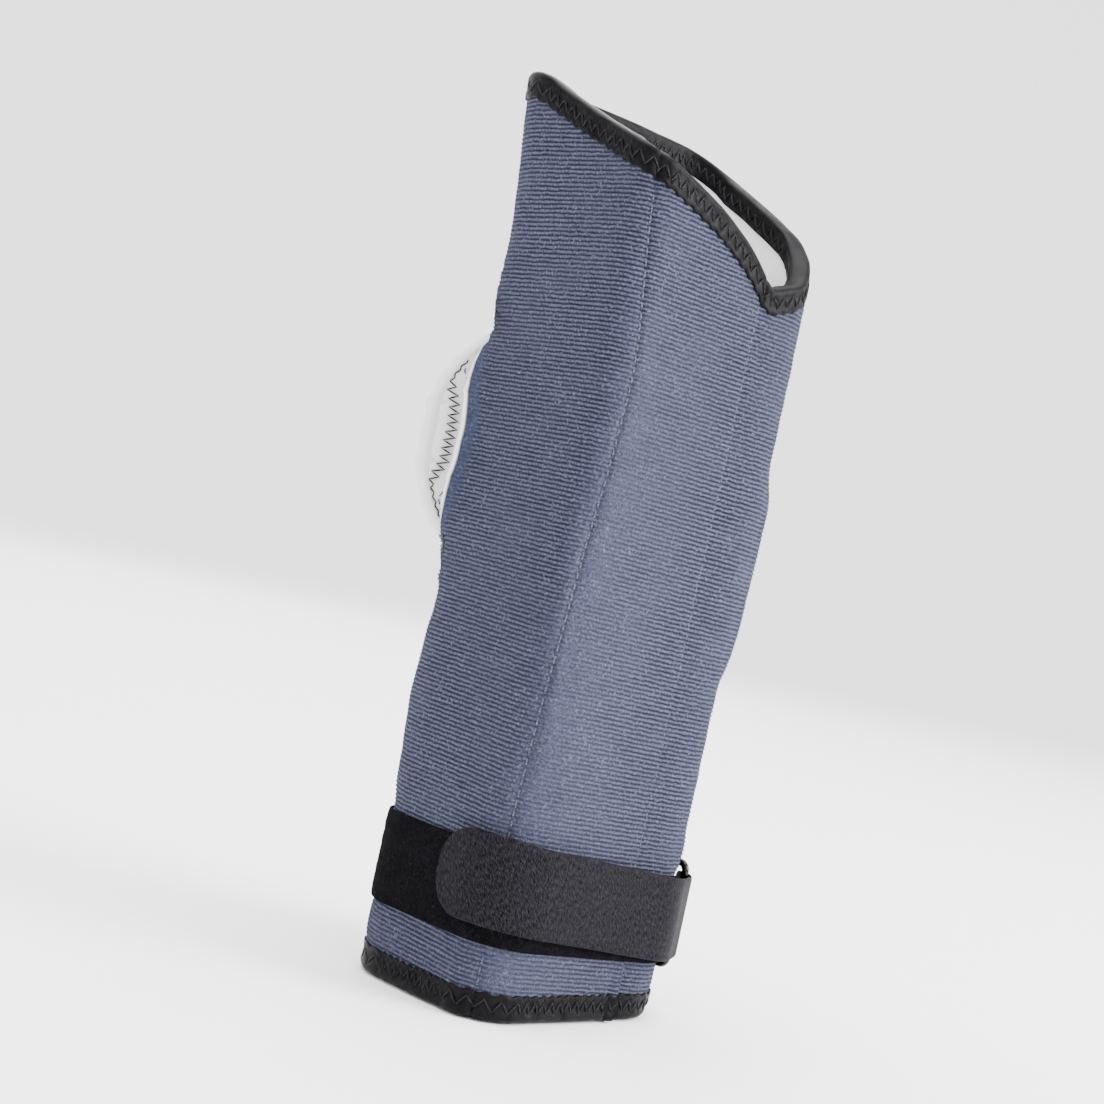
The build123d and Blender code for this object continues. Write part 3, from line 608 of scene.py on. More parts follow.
def foam_material():
    """Open-cell foam edge."""
    m = Nodes("foam_core")
    cells = m.add("ShaderNodeTexVoronoi", {"Vector": m.stretched(), "Scale": 1400.0}).outputs[0]
    tone = m.noise(m.stretched(), 60.0)
    colour = m.mix(m.remap(cells, 0.0, 0.6), (0.62, 0.62, 0.60), (0.84, 0.84, 0.82))
    colour = m.mix(m.remap(tone, 0.3, 0.7, 0.0, 0.2), colour, (0.70, 0.69, 0.64))
    m.set(Base_Color=colour, Roughness=1.0)
    m.bump(cells, 0.0004, 0.7)
    return m.material


def binding_material():
    """Black satin stretch binding with a fine cross-grain."""
    m = Nodes("satin_binding")
    grain = m.noise(m.stretched(), 3200.0, 2.0)
    slub = m.noise(m.stretched((1, 1, 0.3)), 420.0, 3.0)
    tone = m.noise(m.stretched(), 70.0, 3.0)
    colour = m.mix(m.remap(slub, 0.35, 0.7), (0.0010, 0.0008, 0.0012), (0.0046, 0.0039, 0.0051))
    colour = m.mix(m.remap(tone, 0.35, 0.7, 0.0, 0.35), colour, (0.0028, 0.0023, 0.0031))
    m.set(Base_Color=colour, Roughness=m.remap(slub, 0.2, 0.8, 0.34, 0.50),
          Specular_IOR_Level=0.065)
    m.bump(m.math("ADD", grain, m.math("MULTIPLY", slub, 0.7)), 0.00018, 0.55)
    return m.material


def thread_material(name, dark, light):
    """Twisted sewing thread."""
    m = Nodes(name)
    twist = m.add("ShaderNodeTexWave", {"Vector": m.stretched(), "Scale": 900.0, "Distortion": 1.5},
                  bands_direction="DIAGONAL").outputs[1]
    colour = m.mix(m.remap(twist, 0.2, 0.8), dark, light)
    m.set(Base_Color=colour, Roughness=0.42,
          Specular_IOR_Level=0.15)
    m.bump(twist, 0.00012, 0.6)
    return m.material


def pile_material():
    """Black loop pile: matt, mottled and fuzzy."""
    m = Nodes("loop_pile")
    tufts = m.noise(m.stretched(), 1100.0, 4.0, 0.75)
    matted = m.noise(m.stretched(), 210.0, 4.0, 0.65)
    lint = m.noise(m.stretched(), 700.0, 1.0)
    colour = m.mix(m.remap(tufts, 0.35, 0.7), (0.0004, 0.0004, 0.0005), (0.0105, 0.0095, 0.0120))
    colour = m.mix(m.remap(matted, 0.4, 0.7, 0.0, 0.55), colour, (0.0010, 0.0009, 0.0012))
    colour = m.mix(m.remap(lint, 0.70, 0.78, 0.0, 0.6), colour, (0.020, 0.020, 0.023))
    m.set(Base_Color=colour, Roughness=0.95,
          Specular_IOR_Level=0.02)
    m.bump(m.math("ADD", tufts, m.math("MULTIPLY", matted, 0.8)), 0.0009, 0.9)
    return m.material


def twill_material(name="strap_twill", scale=1.0):
    """Smooth black strap laminate with a fine diagonal twill."""
    m = Nodes(name)
    uv = m.add("ShaderNodeUVMap", uv_map="cloth").outputs[0]
    slanted = m.add("ShaderNodeMapping", {"Vector": uv, "Rotation": (0, 0, math.radians(-28))}).outputs[0]
    wale = m.add("ShaderNodeTexWave", {"Vector": slanted, "Scale": 0.70 * scale, "Distortion": 2.2,
                                       "Detail": 2.0, "Detail Scale": 1.6}, bands_direction="X").outputs[1]
    fine = m.noise(m.scaled(slanted, (1.9, 0.62, 1.0)), 1.0, 3.0, 0.75)
    broad = m.noise(m.stretched(), 60.0, 3.0)
    colour = m.mix(m.remap(fine, 0.36, 0.66), (0.0004, 0.0004, 0.0005), (0.0300, 0.0285, 0.0345))
    colour = m.mix(m.remap(wale, 0.2, 0.8, 0.0, 0.65), colour, (0.0010, 0.0010, 0.0012))
    m.set(Base_Color=colour, Roughness=m.remap(broad, 0.3, 0.7, 0.5, 0.62),
          Specular_IOR_Level=0.02)
    m.bump(m.math("ADD", m.math("MULTIPLY", wale, 0.6), fine), 0.00022, 0.6)
    return m.material


def hook_material():
    """Black moulded hooks on a woven base."""
    m = Nodes("hook_pad")
    hooks = m.add("ShaderNodeTexVoronoi", {"Vector": m.stretched(), "Scale": 900.0}).outputs[0]
    colour = m.mix(m.remap(hooks, 0.0, 0.5), (0.012, 0.012, 0.013), (0.002, 0.002, 0.002))
    m.set(Base_Color=colour, Roughness=0.8,
          Specular_IOR_Level=0.04)
    m.bump(hooks, -0.0003, 0.7)
    return m.material


def plastic_material():
    """Glossy black moulded plastic with fine scuffs."""
    m = Nodes("gloss_black_plastic")
    scuff = m.noise(m.stretched((1, 1, 0.2)), 900.0, 4.0)
    mottle = m.noise(m.stretched(), 240.0, 2.0)
    m.set(Base_Color=m.mix(m.remap(mottle, 0.3, 0.7), (0.0015, 0.0015, 0.0017), (0.0035, 0.0035, 0.0039)),
          Roughness=m.remap(scuff, 0.35, 0.75, 0.10, 0.24),
          Specular_IOR_Level=0.30)
    m.bump(scuff, 0.00004, 0.3)
    return m.material


def metal_material():
    """Brushed aluminium."""
    m = Nodes("brushed_aluminium")
    grain = m.noise(m.stretched((1, 1, 0.02)), 2500.0, 2.0)
    m.set(Base_Color=m.mix(grain, (0.62, 0.63, 0.64), (0.80, 0.80, 0.81)), Metallic=1.0,
          Roughness=m.remap(grain, 0.2, 0.8, 0.28, 0.45))
    m.bump(grain, 0.00003, 0.3)
    return m.material


def cap_material():
    """Off-white moulded end caps."""
    m = Nodes("moulded_cap")
    tone = m.noise(m.stretched(), 300.0)
    m.set(Base_Color=m.mix(tone, (0.60, 0.60, 0.57), (0.70, 0.70, 0.67)), Roughness=0.5)
    m.bump(tone, 0.00005, 0.3)
    return m.material


KNIT, LINING, FOAM = knit_material(), lining_material(), foam_material()
# The facing tape's tint is darker than the lining's as painted shade, so its rolled edge stands out against
# the white backdrop.
FACING = lining_material("white_facing_tape", (0.70, 0.70, 0.69))
POCKET = lining_material("pocket_cloth", (0.80, 0.80, 0.78))
BINDING, PILE, TWILL, HOOKS = binding_material(), pile_material(), twill_material(), hook_material()
BLACK_THREAD = thread_material("black_thread", (0.0016, 0.0015, 0.0019), (0.016, 0.015, 0.018))
GREY_THREAD = thread_material("grey_thread", (0.030, 0.033, 0.055), (0.150, 0.158, 0.215))
WHITE_THREAD = thread_material("white_thread", (0.55, 0.55, 0.55), (0.82, 0.82, 0.82))
PLASTIC, METAL, CAP = plastic_material(), metal_material(), cap_material()


# ---- panels
def spread(marks, gaps):
    """Numbers from the first mark to the last, with the given number of steps between marks."""
    parts = [np.linspace(a, b, n, endpoint=False) for (a, b), n in zip(zip(marks, marks[1:]), gaps)]
    return np.concatenate(parts + [[marks[-1]]])


def dorsal_turns(z):
    """Turns of the dorsal panel's grid: columns follow the hole, the channel line and the seam."""
    edge, line = near_edge(z)[:, None], channel_turn(z)[:, None]
    first = spread([0.0, 0.04, 0.16, 0.5, 0.93, 0.972, 1.0], [3, 4, 6, 7, 3, 3])
    second = spread([0.0, 0.03, 0.07, 0.45, 0.9, 0.965, 1.0], [3, 2, 6, 6, 3, 4])[1:]
    a = edge + (line - edge) * first[None]
    b = line + (SEAM_TURN - line) * second[None]
    return np.concatenate([a, b], axis=1)


def palmar_turns(z):
    """The same for the palmar panel, from the seam round the little-finger side to the thumb hole."""
    end = far_edge(z)[:, None]
    share = spread([0.0, 0.012, 0.04, 0.10, 0.28, 0.45, 0.60, 0.9, 0.97, 1.0], [4, 3, 3, 9, 6, 9, 9, 5, 5])
    return SEAM_TURN + (end - SEAM_TURN) * share[None]


TURNS = {"dorsal": dorsal_turns, "palmar": palmar_turns}
PANEL_FOOT = 0.8


def panel_rows(side, z_rows, skew):
    """Heights and turns of a panel's grid, with the rows that each column keeps."""
    turns = TURNS[side](z_rows)
    z = z_rows[:, None] + skew(girth(turns, 120.0), z_rows[:, None])
    top = rim(side, turns[-1])[None] - 0.9
    kept_low = (z < PANEL_FOOT).sum(axis=0) - 1
    kept_high = (z < top).sum(axis=0)
    z = np.clip(z, PANEL_FOOT, top)
    turns = turns_at(turns, z, z_rows)
    return z, turns, np.maximum(kept_low, 0), np.minimum(kept_high, len(z_rows) - 1)


def turns_at(turns, z, z_rows):
    """Column turns looked up again at each point's own height, so slanted rows still follow the edges."""
    return np.stack([np.interp(z[:, c], z_rows, turns[:, c]) for c in range(turns.shape[1])], axis=1)


def rib_skew(length, z):
    """How far the ribs drop across the sleeve: none at the hand, about four degrees at the forearm."""
    slope = 0.055 * ease((235.0 - z) / 150.0)
    return -slope * (length - 150.0) * np.clip(1 - np.abs(length - 150.0) / 400.0, 0, 1)


def cloth_marks(side, length, z):
    """How frayed and worn smooth the knit is, and how much painted shade darkens its creases: (..., 3), each
    from 0 to 1.
    """
    if side == "dorsal":
        edge = length - girth(near_edge(z), z)
    else:
        edge = girth(far_edge(z), z) - length
    fray = hole_opening(z) ** 0.3 * ease((3.4 - edge) / 1.6)
    from_channel = length - girth(channel_turn(z), z)
    beside = bell(from_channel - 3.0, 7.0)
    beside = beside + 0.45 * ease(from_channel / 12.0) * ease((44.0 - from_channel) / 18.0)
    patchy = 1 + 0.3 * waves(length, z, seed=15, shortest=7.0, longest=26.0)
    worn = 0.9 * beside * ease((236.0 - z) / 70.0) * patchy
    worn = worn + 0.22 * np.clip(waves(length, z, seed=16, shortest=9.0, longest=34.0), 0, 1)
    # painted shade in the crease under the web of the thumb and at the foot of the thumb hole
    web = bell(z - 206.0, 8.0) * ease((14.0 - edge) / 13.0) * (side == "dorsal")
    foot = bell(z - 128.0, 6.0) * ease((9.0 - edge) / 8.0) * (side == "dorsal")
    return np.stack([fray, np.clip(worn, 0, 1), np.clip(0.8 * web + 0.6 * foot, 0, 1)], axis=-1)


def panel_layer(side, layer_out, layer_in, step, ribs=0.0, out_field=None):
    """Front and back grids of one layer of a panel."""
    z_rows = np.arange(-14.0, 296.0, step)
    z, turns, low, high = panel_rows(side, z_rows, rib_skew)
    phase = (z_rows / RIB)[:, None] + np.zeros_like(z)
    length = girth(turns, z)
    marks = cloth_marks(side, length, z)
    relief = 0.0
    if ribs:
        uneven = 1 + 0.45 * waves(length, z, seed=11, count=7, shortest=5.0, longest=18.0)
        relief = ribs * np.cos(2 * math.pi * phase) * uneven
        relief = relief * (1 - 0.9 * marks[..., 0]) * (1 - 0.55 * marks[..., 1])
        relief = relief + 0.06 * waves(length, z * 3, seed=12, count=9, shortest=2.2, longest=6.0)
    out = layer_out if out_field is None else out_field(turns, z)
    front = place(side, turns, z, out + relief)
    back = place(side, turns, z, layer_in)
    uv = np.stack([length, phase], axis=-1)
    return front, back, low, high, uv, marks


def finish_piece(obj, body, nodes):
    """Puts a piece on its body in place of its CAD nodes."""
    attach(obj, body)
    if nodes:
        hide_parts(*nodes)
    return obj


def sewing(name, parts, material):
    """One piece of the sleeve made of many threads."""
    finish_piece(make_object(name, *join(parts), material), "sleeve", [name])


def stay_recess(turns, z):
    """The foam's outer face, lowered where the dorsal stay lies in it."""
    x, _, _, _ = wall(turns, z)
    inside = ease((x + 30.5) / 3.0) * ease((14.5 - x) / 2.0)
    inside = inside * ease((z - 12.0) / 3.0) * ease((228.0 - z) / 3.0)
    on_back = (np.mod(turns, 8) > 3.5) & (np.mod(turns, 8) < 5)
    return -1.05 - 2.5 * inside * on_back


LAYERS = {  # outer face, inner face, spacing of rows, material, slot
    "cover": (0.0, -COVER_PLY, RIB / 4, KNIT, "shell_knit"),
    "foam": (-1.05, -4.15, 2.7, FOAM, "foam"),
    "lining": (-4.3, -5.0, 2.0, LINING, "lining"),
}
for side in ("dorsal", "palmar"):
    for layer, (layer_out, layer_in, step, material, slot) in LAYERS.items():
        name, ribs = f"{side}_{layer}", 0.19 if layer == "cover" else 0.0
        field = stay_recess if name == "dorsal_foam" else None
        front, back, low, high, uv, marks = panel_layer(side, layer_out, layer_in, step, ribs, field)
        cloth = (uv, marks) if ribs else ()
        points, faces, *cloth = close_sheet(front, back, low, high, *cloth)
        piece = make_object(name, points, faces, material, *cloth)
        finish_piece(piece, "sleeve", [name])


# ---- rolled edges of the thumb hole
def edge_roll(side, name, nodes):
    """White tape rolled round the cut edge of a panel in the thumb hole."""
    z = np.linspace(HOLE_LOW + 0.6, HOLE_HIGH - 0.6, 110)
    edge = near_edge(z) if side == "dorsal" else far_edge(z)
    inward = 1.0 if side == "dorsal" else -1.0
    size = np.clip(hole_opening(z) * 3.0, 0, 1)
    middle = place(side, edge, z, -2.6)
    skin = place(side, edge, z, 0.0)
    normal = (skin - middle) / 2.6
    along = -inward * np.stack([-normal[:, 1], normal[:, 0], np.zeros(len(z))], axis=-1)
    rings = []
    arc = np.radians(np.linspace(-90, 78, 13))
    for radius in (2.62, 1.9):
        path = [middle - normal * radius - along * back for back in (5.5, 4.0, 2.5, 1.2)]
        path += [middle + (normal * math.sin(a) + along * math.cos(a) * size[:, None]) * radius for a in arc]
        rings.append(np.stack(path, axis=1))
    outer_skin, inner_skin = rings
    loop = np.concatenate([outer_skin, inner_skin[:, ::-1]], axis=1)
    if side == "palmar":
        loop = loop[:, ::-1]
    finish_piece(make_object(name, *ring_sweep(loop), FACING), "sleeve", nodes)


edge_roll("palmar", "thumb_hole_facing", ["thumb_hole_facing"])
edge_roll("dorsal", "thumb_hole_edge_roll", [])


# ---- bindings
ZIG = 4.1
STITCH_TOP, STITCH_LOW = 3.1, 6.7


def zig_height(length):
    """Height of the zigzag thread below the edge at a length along it."""
    tri = 2 * np.abs(2 * ((length / ZIG) % 1.0) - 1) - 1
    return (STITCH_TOP + STITCH_LOW) / 2 + tri * (STITCH_LOW - STITCH_TOP) / 2


def binding_profile():
    """(out, h) of the tape's visible face from the outer leg's end over the edge, and of its hidden face."""
    outer_leg = [(0.15, 8.3), (0.55, 8.35), (0.82, 8.0), (0.85, 7.4), (0.85, 6.8), (0.85, 6.2), (0.85, 5.6),
                 (0.85, 5.0), (0.85, 4.4), (0.85, 3.8), (0.88, 3.2), (0.98, 2.5), (1.02, 1.8)]
    crest = [(0.85, 1.1), (0.4, 0.5), (-0.5, 0.12), (-1.6, 0.0), (-3.2, 0.0), (-4.4, 0.1), (-5.4, 0.5),
             (-5.85, 1.2)]
    inner_leg = [(-5.95, 2.2), (-5.9, 3.4), (-5.85, 5.0), (-5.85, 6.6), (-5.85, 7.8), (-5.5, 8.3)]
    hidden = [(-5.15, 8.0), (-5.15, 5.0), (-5.15, 1.4), (-4.6, 0.75), (-2.6, 0.68), (-0.5, 0.75), (0.10, 1.4),
              (0.10, 3.0), (0.10, 5.5), (0.10, 7.9)]
    return np.array(outer_leg + crest + inner_leg), np.array(hidden), len(outer_leg)


def binding(name, side, first, last, height_of, downward):
    """Tape folded over an edge, puckered by its zigzag. downward is -1 at the hand and +1 at the forearm.

    Returns the tape, and the turns, lengths and edge heights of its stations.
    """
    fine = dict(shortest=3.0, longest=11.0)
    total = float(girth(last, 150.0) - girth(first, 150.0))
    stations = int(total / 0.42)
    even = np.linspace(0, total, stations)
    table = np.linspace(first, last, 600)
    turns = np.interp(even, girth(table, 150.0) - girth(first, 150.0), table)
    edge = height_of(side, turns)
    shown, hidden, on_outside = binding_profile()
    columns = []
    for k, (out, h) in enumerate(shown):
        outs = np.full(stations, out)
        hs = np.full(stations, h)
        if k < on_outside:
            gap = np.abs(h - zig_height(even)) * 0.66
            outs = outs - 0.42 * bell(gap, 0.5) * (out > 0.5)
            outs = outs + 0.16 * waves(even, np.full(stations, h * 2.0), seed=21, **fine)
            frill = 0.38 * np.cos(2 * math.pi * even / ZIG) + 0.22 * waves(even, 0 * even, 22)
            hs = hs + frill * ease((h - 6.5) / 1.8)
        elif out < -5.8 and h > 2.0:
            gap = np.abs(h - zig_height(even + ZIG / 2)) * 0.66
            uneven = waves(even, np.full(stations, h * 2.0), seed=24, **fine)
            outs = outs + 0.40 * bell(gap, 0.55) + 0.12 * uneven
            hs = hs + 0.35 * np.cos(2 * math.pi * even / ZIG) * ease((h - 6.5) / 1.8)
        else:
            creases = waves(even, np.full(stations, out * 1.5), seed=23, shortest=6.0, longest=18.0)
            outs = outs + 0.10 * creases
        columns.append(place(side, turns, edge + downward * hs, outs))
    for out, h in hidden:
        columns.append(place(side, turns, edge + downward * h, np.full(stations, out)))
    loop = np.stack(columns, axis=1)
    if downward > 0:
        loop = loop[:, ::-1]
    return make_object(name, *ring_sweep(loop), BINDING, sharp=70.0), turns, even, edge


def zigzag_thread(side, turns, even, edge, downward, inside=False):
    """Points and faces of the zigzag sewn through a binding, on its outer or inner face."""
    count = int(even[-1] / (ZIG / 2))
    knots = (np.arange(count + 1) * ZIG / 2)
    knots = knots[(knots > 0.6) & (knots < even[-1] - 0.6)]
    path = []
    for a, b in zip(knots, knots[1:]):
        for w in (0.0, 0.12, 0.35, 0.65, 0.88):
            s = a + (b - a) * w
            lift = 0.42 + 0.62 * math.sin(math.pi * w) ** 0.6
            turn, top = np.interp(s, even, turns), np.interp(s, even, edge)
            drop = float(zig_height(s + (ZIG / 2 if inside else 0.0)))
            path.append(place(side, turn, top + downward * drop, -5.0 - lift if inside else lift))
    return tube(np.array(path), 0.25)


SPANS = {"dorsal": (THUMB_TURN, SEAM_TURN), "palmar": (SEAM_TURN, 8 + THUMB_TURN)}
ENDS = {"hand": (rim, -1.0), "forearm": (lambda _, turn: np.zeros(np.shape(turn)), 1.0)}
threads = {end: [] for end in ENDS}
for side, (first, last) in SPANS.items():
    for end, (edge_height, downward) in ENDS.items():
        name = f"{end}_binding_{side}"
        tape, turns, even, edge = binding(name, side, first, last, edge_height, downward)
        finish_piece(tape, "sleeve", [name])
        for inside in (False, True):
            threads[end].append(zigzag_thread(side, turns, even, edge, downward, inside))
for end in ENDS:
    sewing(f"{end}_binding_stitches", threads[end], BLACK_THREAD)


# ---- stitching on the panels
def stitch(side, turn_of, z0, z1, lift=0.34, radius=0.24, out=0.0, across=0.0):
    """One lengthwise stitch that dips into the cloth at both ends."""
    path = []
    for w in np.linspace(0, 1, 7):
        z = z0 + (z1 - z0) * w
        above = out - 0.15 + lift * math.sin(math.pi * w) ** 0.5
        path.append(place(side, float(turn_of(z)) + across * w, z, above))
    return tube(np.array(path), radius, sides=6)


def stitch_run(side, turn_of, spans, pitch=3.1, length=2.2, **kwargs):
    """Lengthwise stitches along a line, slightly uneven, between each pair of heights."""
    parts = []
    for low, high in spans:
        for k in range(int((high - low) / pitch)):
            z = low + pitch * (k + 0.5) + RNG.uniform(-0.15, 0.15)
            parts.append(stitch(side, turn_of, z - length / 2, z + length / 2,
                                across=RNG.uniform(-0.008, 0.008), **kwargs))
    return parts


sewing("channel_stitches", stitch_run("dorsal", channel_turn, [(9.5, 20.5), (53.0, 246.0)], lift=0.62,
                                      out=-0.1), GREY_THREAD)
seam_line = lambda z: SEAM_TURN - 3.3 / 50.0
sewing("seam_stitches", stitch_run("dorsal", seam_line, [(48.0, 226.0)], lift=0.45, radius=0.17, length=1.9,
                                   out=-0.15), GREY_THREAD)


def thumb_stitches():
    """Black zigzag and running stitch inside the palmar edge of the thumb hole, and the bar tack below it."""
    parts = []
    per_mm = 1.0 / 61.0
    path = [place("palmar", float(far_edge(z)) - (2.6 if k % 2 else 4.8) * per_mm, z, -5.50)
            for k, z in enumerate(np.arange(HOLE_LOW + 6.0, HOLE_HIGH - 8.0, 1.3))]
    fine = []
    for p, q in zip(path, path[1:]):
        fine += [p, p * 0.65 + q * 0.35, p * 0.35 + q * 0.65]
    parts.append(tube(np.array(fine), 0.24))
    for z in np.arange(HOLE_LOW + 8.0, HOLE_HIGH - 12.0, 2.6):
        ends = [place("palmar", float(far_edge(v)) - 7.8 * per_mm, v, -5.42) for v in (z, z + 0.8, z + 1.6)]
        parts.append(tube(np.array(ends), 0.18))
    for k in range(7):
        z = HOLE_LOW - 3.2 + 0.75 * k
        ends = [place("dorsal", THUMB_TURN + t, z + 0.35 * (k % 2), 0.30) for t in (0.02, 0.12, 0.22)]
        parts.append(tube(np.array(ends), 0.22))
    return parts


sewing("thumb_hole_stitches", thumb_stitches(), BLACK_THREAD)


# ---- strap
ULNAR_CENTRE = np.array([23.0, -13.0])
ULNAR_RADIUS = 20.0
TO_BAR = STRAP_BAR - ULNAR_CENTRE
BAR_DISTANCE = float(np.hypot(*TO_BAR))
BAR_BEARING = math.degrees(math.atan2(TO_BAR[1], TO_BAR[0]))
FOLD_INNER = RING_WIRE + 0.15
FOLD_MID = FOLD_INNER + BAND_THICK / 2


def polar(centre, radius, angle):
    angle = np.radians(angle)
    return np.stack([centre[0] + radius * np.cos(angle), centre[1] + radius * np.sin(angle)], axis=-1)


def wrap_path(first, last, out, count):
    """Plan points and normals at a distance out from the forearm's section between two turns."""
    table = np.linspace(first, last, 900)
    lengths = girth(table, 30.0)
    turns = np.interp(np.linspace(lengths[0], lengths[-1], count), lengths, table)
    x, y, nx, ny = wall(turns, 30.0)
    return np.stack([x + out * nx, y + out * ny], axis=-1), np.stack([nx, ny], axis=-1)


def arc_lengths(path):
    """Length along a path at each of its points."""
    return np.concatenate([[0], np.cumsum(np.linalg.norm(np.diff(path, axis=0), axis=1))])


def path_normals(points):
    """Unit normals of a plan path, to the right of its direction."""
    t = np.gradient(points, axis=0)
    t /= np.linalg.norm(t, axis=1)[:, None]
    return np.stack([t[:, 1], -t[:, 0]], axis=-1)


def ribbon(name, points, low, high, thick, material, across=20, rough=0.0, selvedge=0.0):
    """A strap along a plan path, with rounded edges; low and high are its edges' heights at each point."""
    normals = path_normals(points)
    arc = arc_lengths(points)
    half = thick / 2
    share = np.concatenate([[0.0, 0.012, 0.04], np.linspace(0.08, 0.92, across), [0.96, 0.988, 1.0]])
    inset = np.concatenate([[1.0, 0.42, 0.08], np.zeros(across), [0.08, 0.42, 1.0]])
    loops, uvs = [], []
    for sign in (1, -1):
        order = range(len(share)) if sign > 0 else range(len(share) - 2, 0, -1)
        for k in order:
            z = low + (high - low) * share[k]
            puff = half * (1 - inset[k]) * sign
            puff = puff + sign * selvedge * math.exp(-((min(share[k], 1 - share[k]) - 0.05) / 0.02) ** 2)
            if rough and sign > 0:
                puff = puff + rough * waves(arc, z, 31, count=10, shortest=3.0, longest=9.0) * (1 - inset[k])
            loops.append(np.column_stack([points + normals * np.reshape(puff, (-1, 1)), z]))
            uvs.append(np.column_stack([arc, z]))
    uv = np.stack(uvs, axis=1).reshape(-1, 2)
    return make_object(name, *ring_sweep(np.stack(loops, axis=1)), material, uv=uv, sharp=75.0)


# the loop-pile band: from the palm, round the thumb side and the back, to the ring's bar
band_mid = BAND_NEAR + BAND_THICK / 2
leave = BAR_BEARING - math.degrees(math.acos((ULNAR_RADIUS + band_mid + FOLD_MID) / BAR_DISTANCE))
start_turn = (23.0 - 8.0) / 46.0
round_sleeve, _ = wrap_path(start_turn, 5 + (leave + 90) / 90.0, band_mid, 330)
last_leg = np.linspace(round_sleeve[-1], polar(STRAP_BAR, FOLD_MID, leave + 180), 14)[1:]
band_path = np.concatenate([round_sleeve, last_leg])
band_centre = strap_centre(band_path[:, 0], BAND_RISE)
band = ribbon("strap_band", band_path, band_centre - STRAP_WIDTH / 2, band_centre + STRAP_WIDTH / 2,
              BAND_THICK, PILE, across=34, rough=0.10)
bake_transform(band)
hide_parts("strap_band")

# the turn round the bar
tail_mid = TAIL_NEAR + TAIL_THICK / 2
tail_leave = BAR_BEARING - math.degrees(math.acos((ULNAR_RADIUS + tail_mid - FOLD_MID) / BAR_DISTANCE))
fold_path = polar(STRAP_BAR, FOLD_MID, np.linspace(leave + 180, tail_leave, 26))
fold_end = strap_centre(fold_path[-1, 0], TAIL_RISE)
fold_low = np.linspace(band_centre[-1] - STRAP_WIDTH / 2, fold_end - STRAP_WIDTH / 2 + TAIL_INSET, 26)
fold_high = np.linspace(band_centre[-1] + STRAP_WIDTH / 2, fold_end + STRAP_WIDTH / 2 - TAIL_INSET, 26)
fold = ribbon("strap_fold", fold_path, fold_low, fold_high, TAIL_THICK, TWILL)
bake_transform(fold)
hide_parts("strap_fold")

# the tail: off the bar, over the corner and the back, round the crease to its rounded tip
TIP_Y, TIP_RADIUS = -8.0, 11.0
tip_turn = 3.0 - (TIP_Y + 17.0) / 30.0
over, _ = wrap_path(tip_turn, 5 + (tail_leave + 90) / 90.0, tail_mid, 300)
off_bar = np.linspace(over[-1], fold_path[-1], 16)[1:]
tail_path = np.concatenate([over, off_bar])
tail_arc = arc_lengths(tail_path)
tail_centre = strap_centre(tail_path[:, 0], TAIL_RISE)
half_tail = STRAP_WIDTH / 2 - TAIL_INSET
reach = np.clip(tail_arc, 0, TIP_RADIUS)
tail_half = half_tail - TIP_RADIUS + np.sqrt(np.clip(TIP_RADIUS**2 - (TIP_RADIUS - reach) ** 2, 0, None))
sway = 0.35 * np.sin(tail_arc / 23.0)
tail = ribbon("strap_tail", tail_path, tail_centre - tail_half + sway, tail_centre + tail_half + sway,
              TAIL_THICK, TWILL, across=30, selvedge=0.10)
finish_piece(tail, "tail", ["strap_tail"])

hook_path, _ = wrap_path(tip_turn, 4 + (-8.0 + 27.0) / 50.0, TAIL_NEAR - 0.15 - HOOK_THICK / 2 + 0.05, 90)
hook_path = hook_path[8:]
hook_arc = arc_lengths(hook_path)
hook_centre = strap_centre(hook_path[:, 0], TAIL_RISE)
HOOK_MARGIN, HOOK_RADIUS = 2.0, 9.0
hook_reach = np.clip(hook_arc + 0.4, 0, HOOK_RADIUS)
hook_half = half_tail - HOOK_MARGIN - HOOK_RADIUS + np.sqrt(
    np.clip(HOOK_RADIUS**2 - (HOOK_RADIUS - hook_reach) ** 2, 0, None))
hook = ribbon("hook_patch", hook_path, hook_centre - hook_half, hook_centre + hook_half,
              HOOK_THICK - 0.1, HOOKS)
finish_piece(hook, "tail", ["hook_patch"])

# webbing keeper: two plies on the little-finger side and an eye round the ring's other bar
KEEPER_PLY, KEEPER_END = 1.3, 12.5
eye = RING_WIRE + 0.12 + KEEPER_PLY / 2
keeper_base = 43.0 + 0.15
inner_x, outer_x = keeper_base + KEEPER_PLY / 2, keeper_base + 1.5 * KEEPER_PLY
eye_arc = polar(KEEPER_BAR, eye, np.linspace(128, 412, 36))
inner_leg = np.column_stack([np.full(10, inner_x), np.linspace(KEEPER_END, KEEPER_BAR[1] + 3.2, 10)])
outer_leg = np.column_stack([np.full(10, outer_x), np.linspace(KEEPER_BAR[1] + 3.4, KEEPER_END, 10)])
keeper_path = np.concatenate([inner_leg, eye_arc[2:-2], outer_leg])
keeper_mid = STRAP_Z + STRAP_WIDTH / 2
keeper_low = np.full(len(keeper_path), keeper_mid - 12.5)
keeper = ribbon("ring_keeper", keeper_path, keeper_low, keeper_low + 25.0, KEEPER_PLY * 0.92,
                twill_material("keeper_webbing", 1.6))
finish_piece(keeper, "sleeve", ["ring_keeper"])


def sewn_box(name, corner_points, outward):
    """A rectangle of box stitches through four corners."""
    parts = []
    for a, b in zip(corner_points, corner_points[1:] + corner_points[:1]):
        a, b = np.array(a, float), np.array(b, float)
        count = max(2, int(np.linalg.norm(b - a) / 2.4))
        for k in range(count):
            ws = np.linspace((k + 0.1) / count, (k + 0.9) / count, 5)
            lift = 0.25 * np.sin(np.linspace(0, math.pi, 5))[:, None] * np.array(outward)
            parts.append(tube(a + (b - a) * ws[:, None] + lift, 0.2))
    sewing(name, parts, BLACK_THREAD)


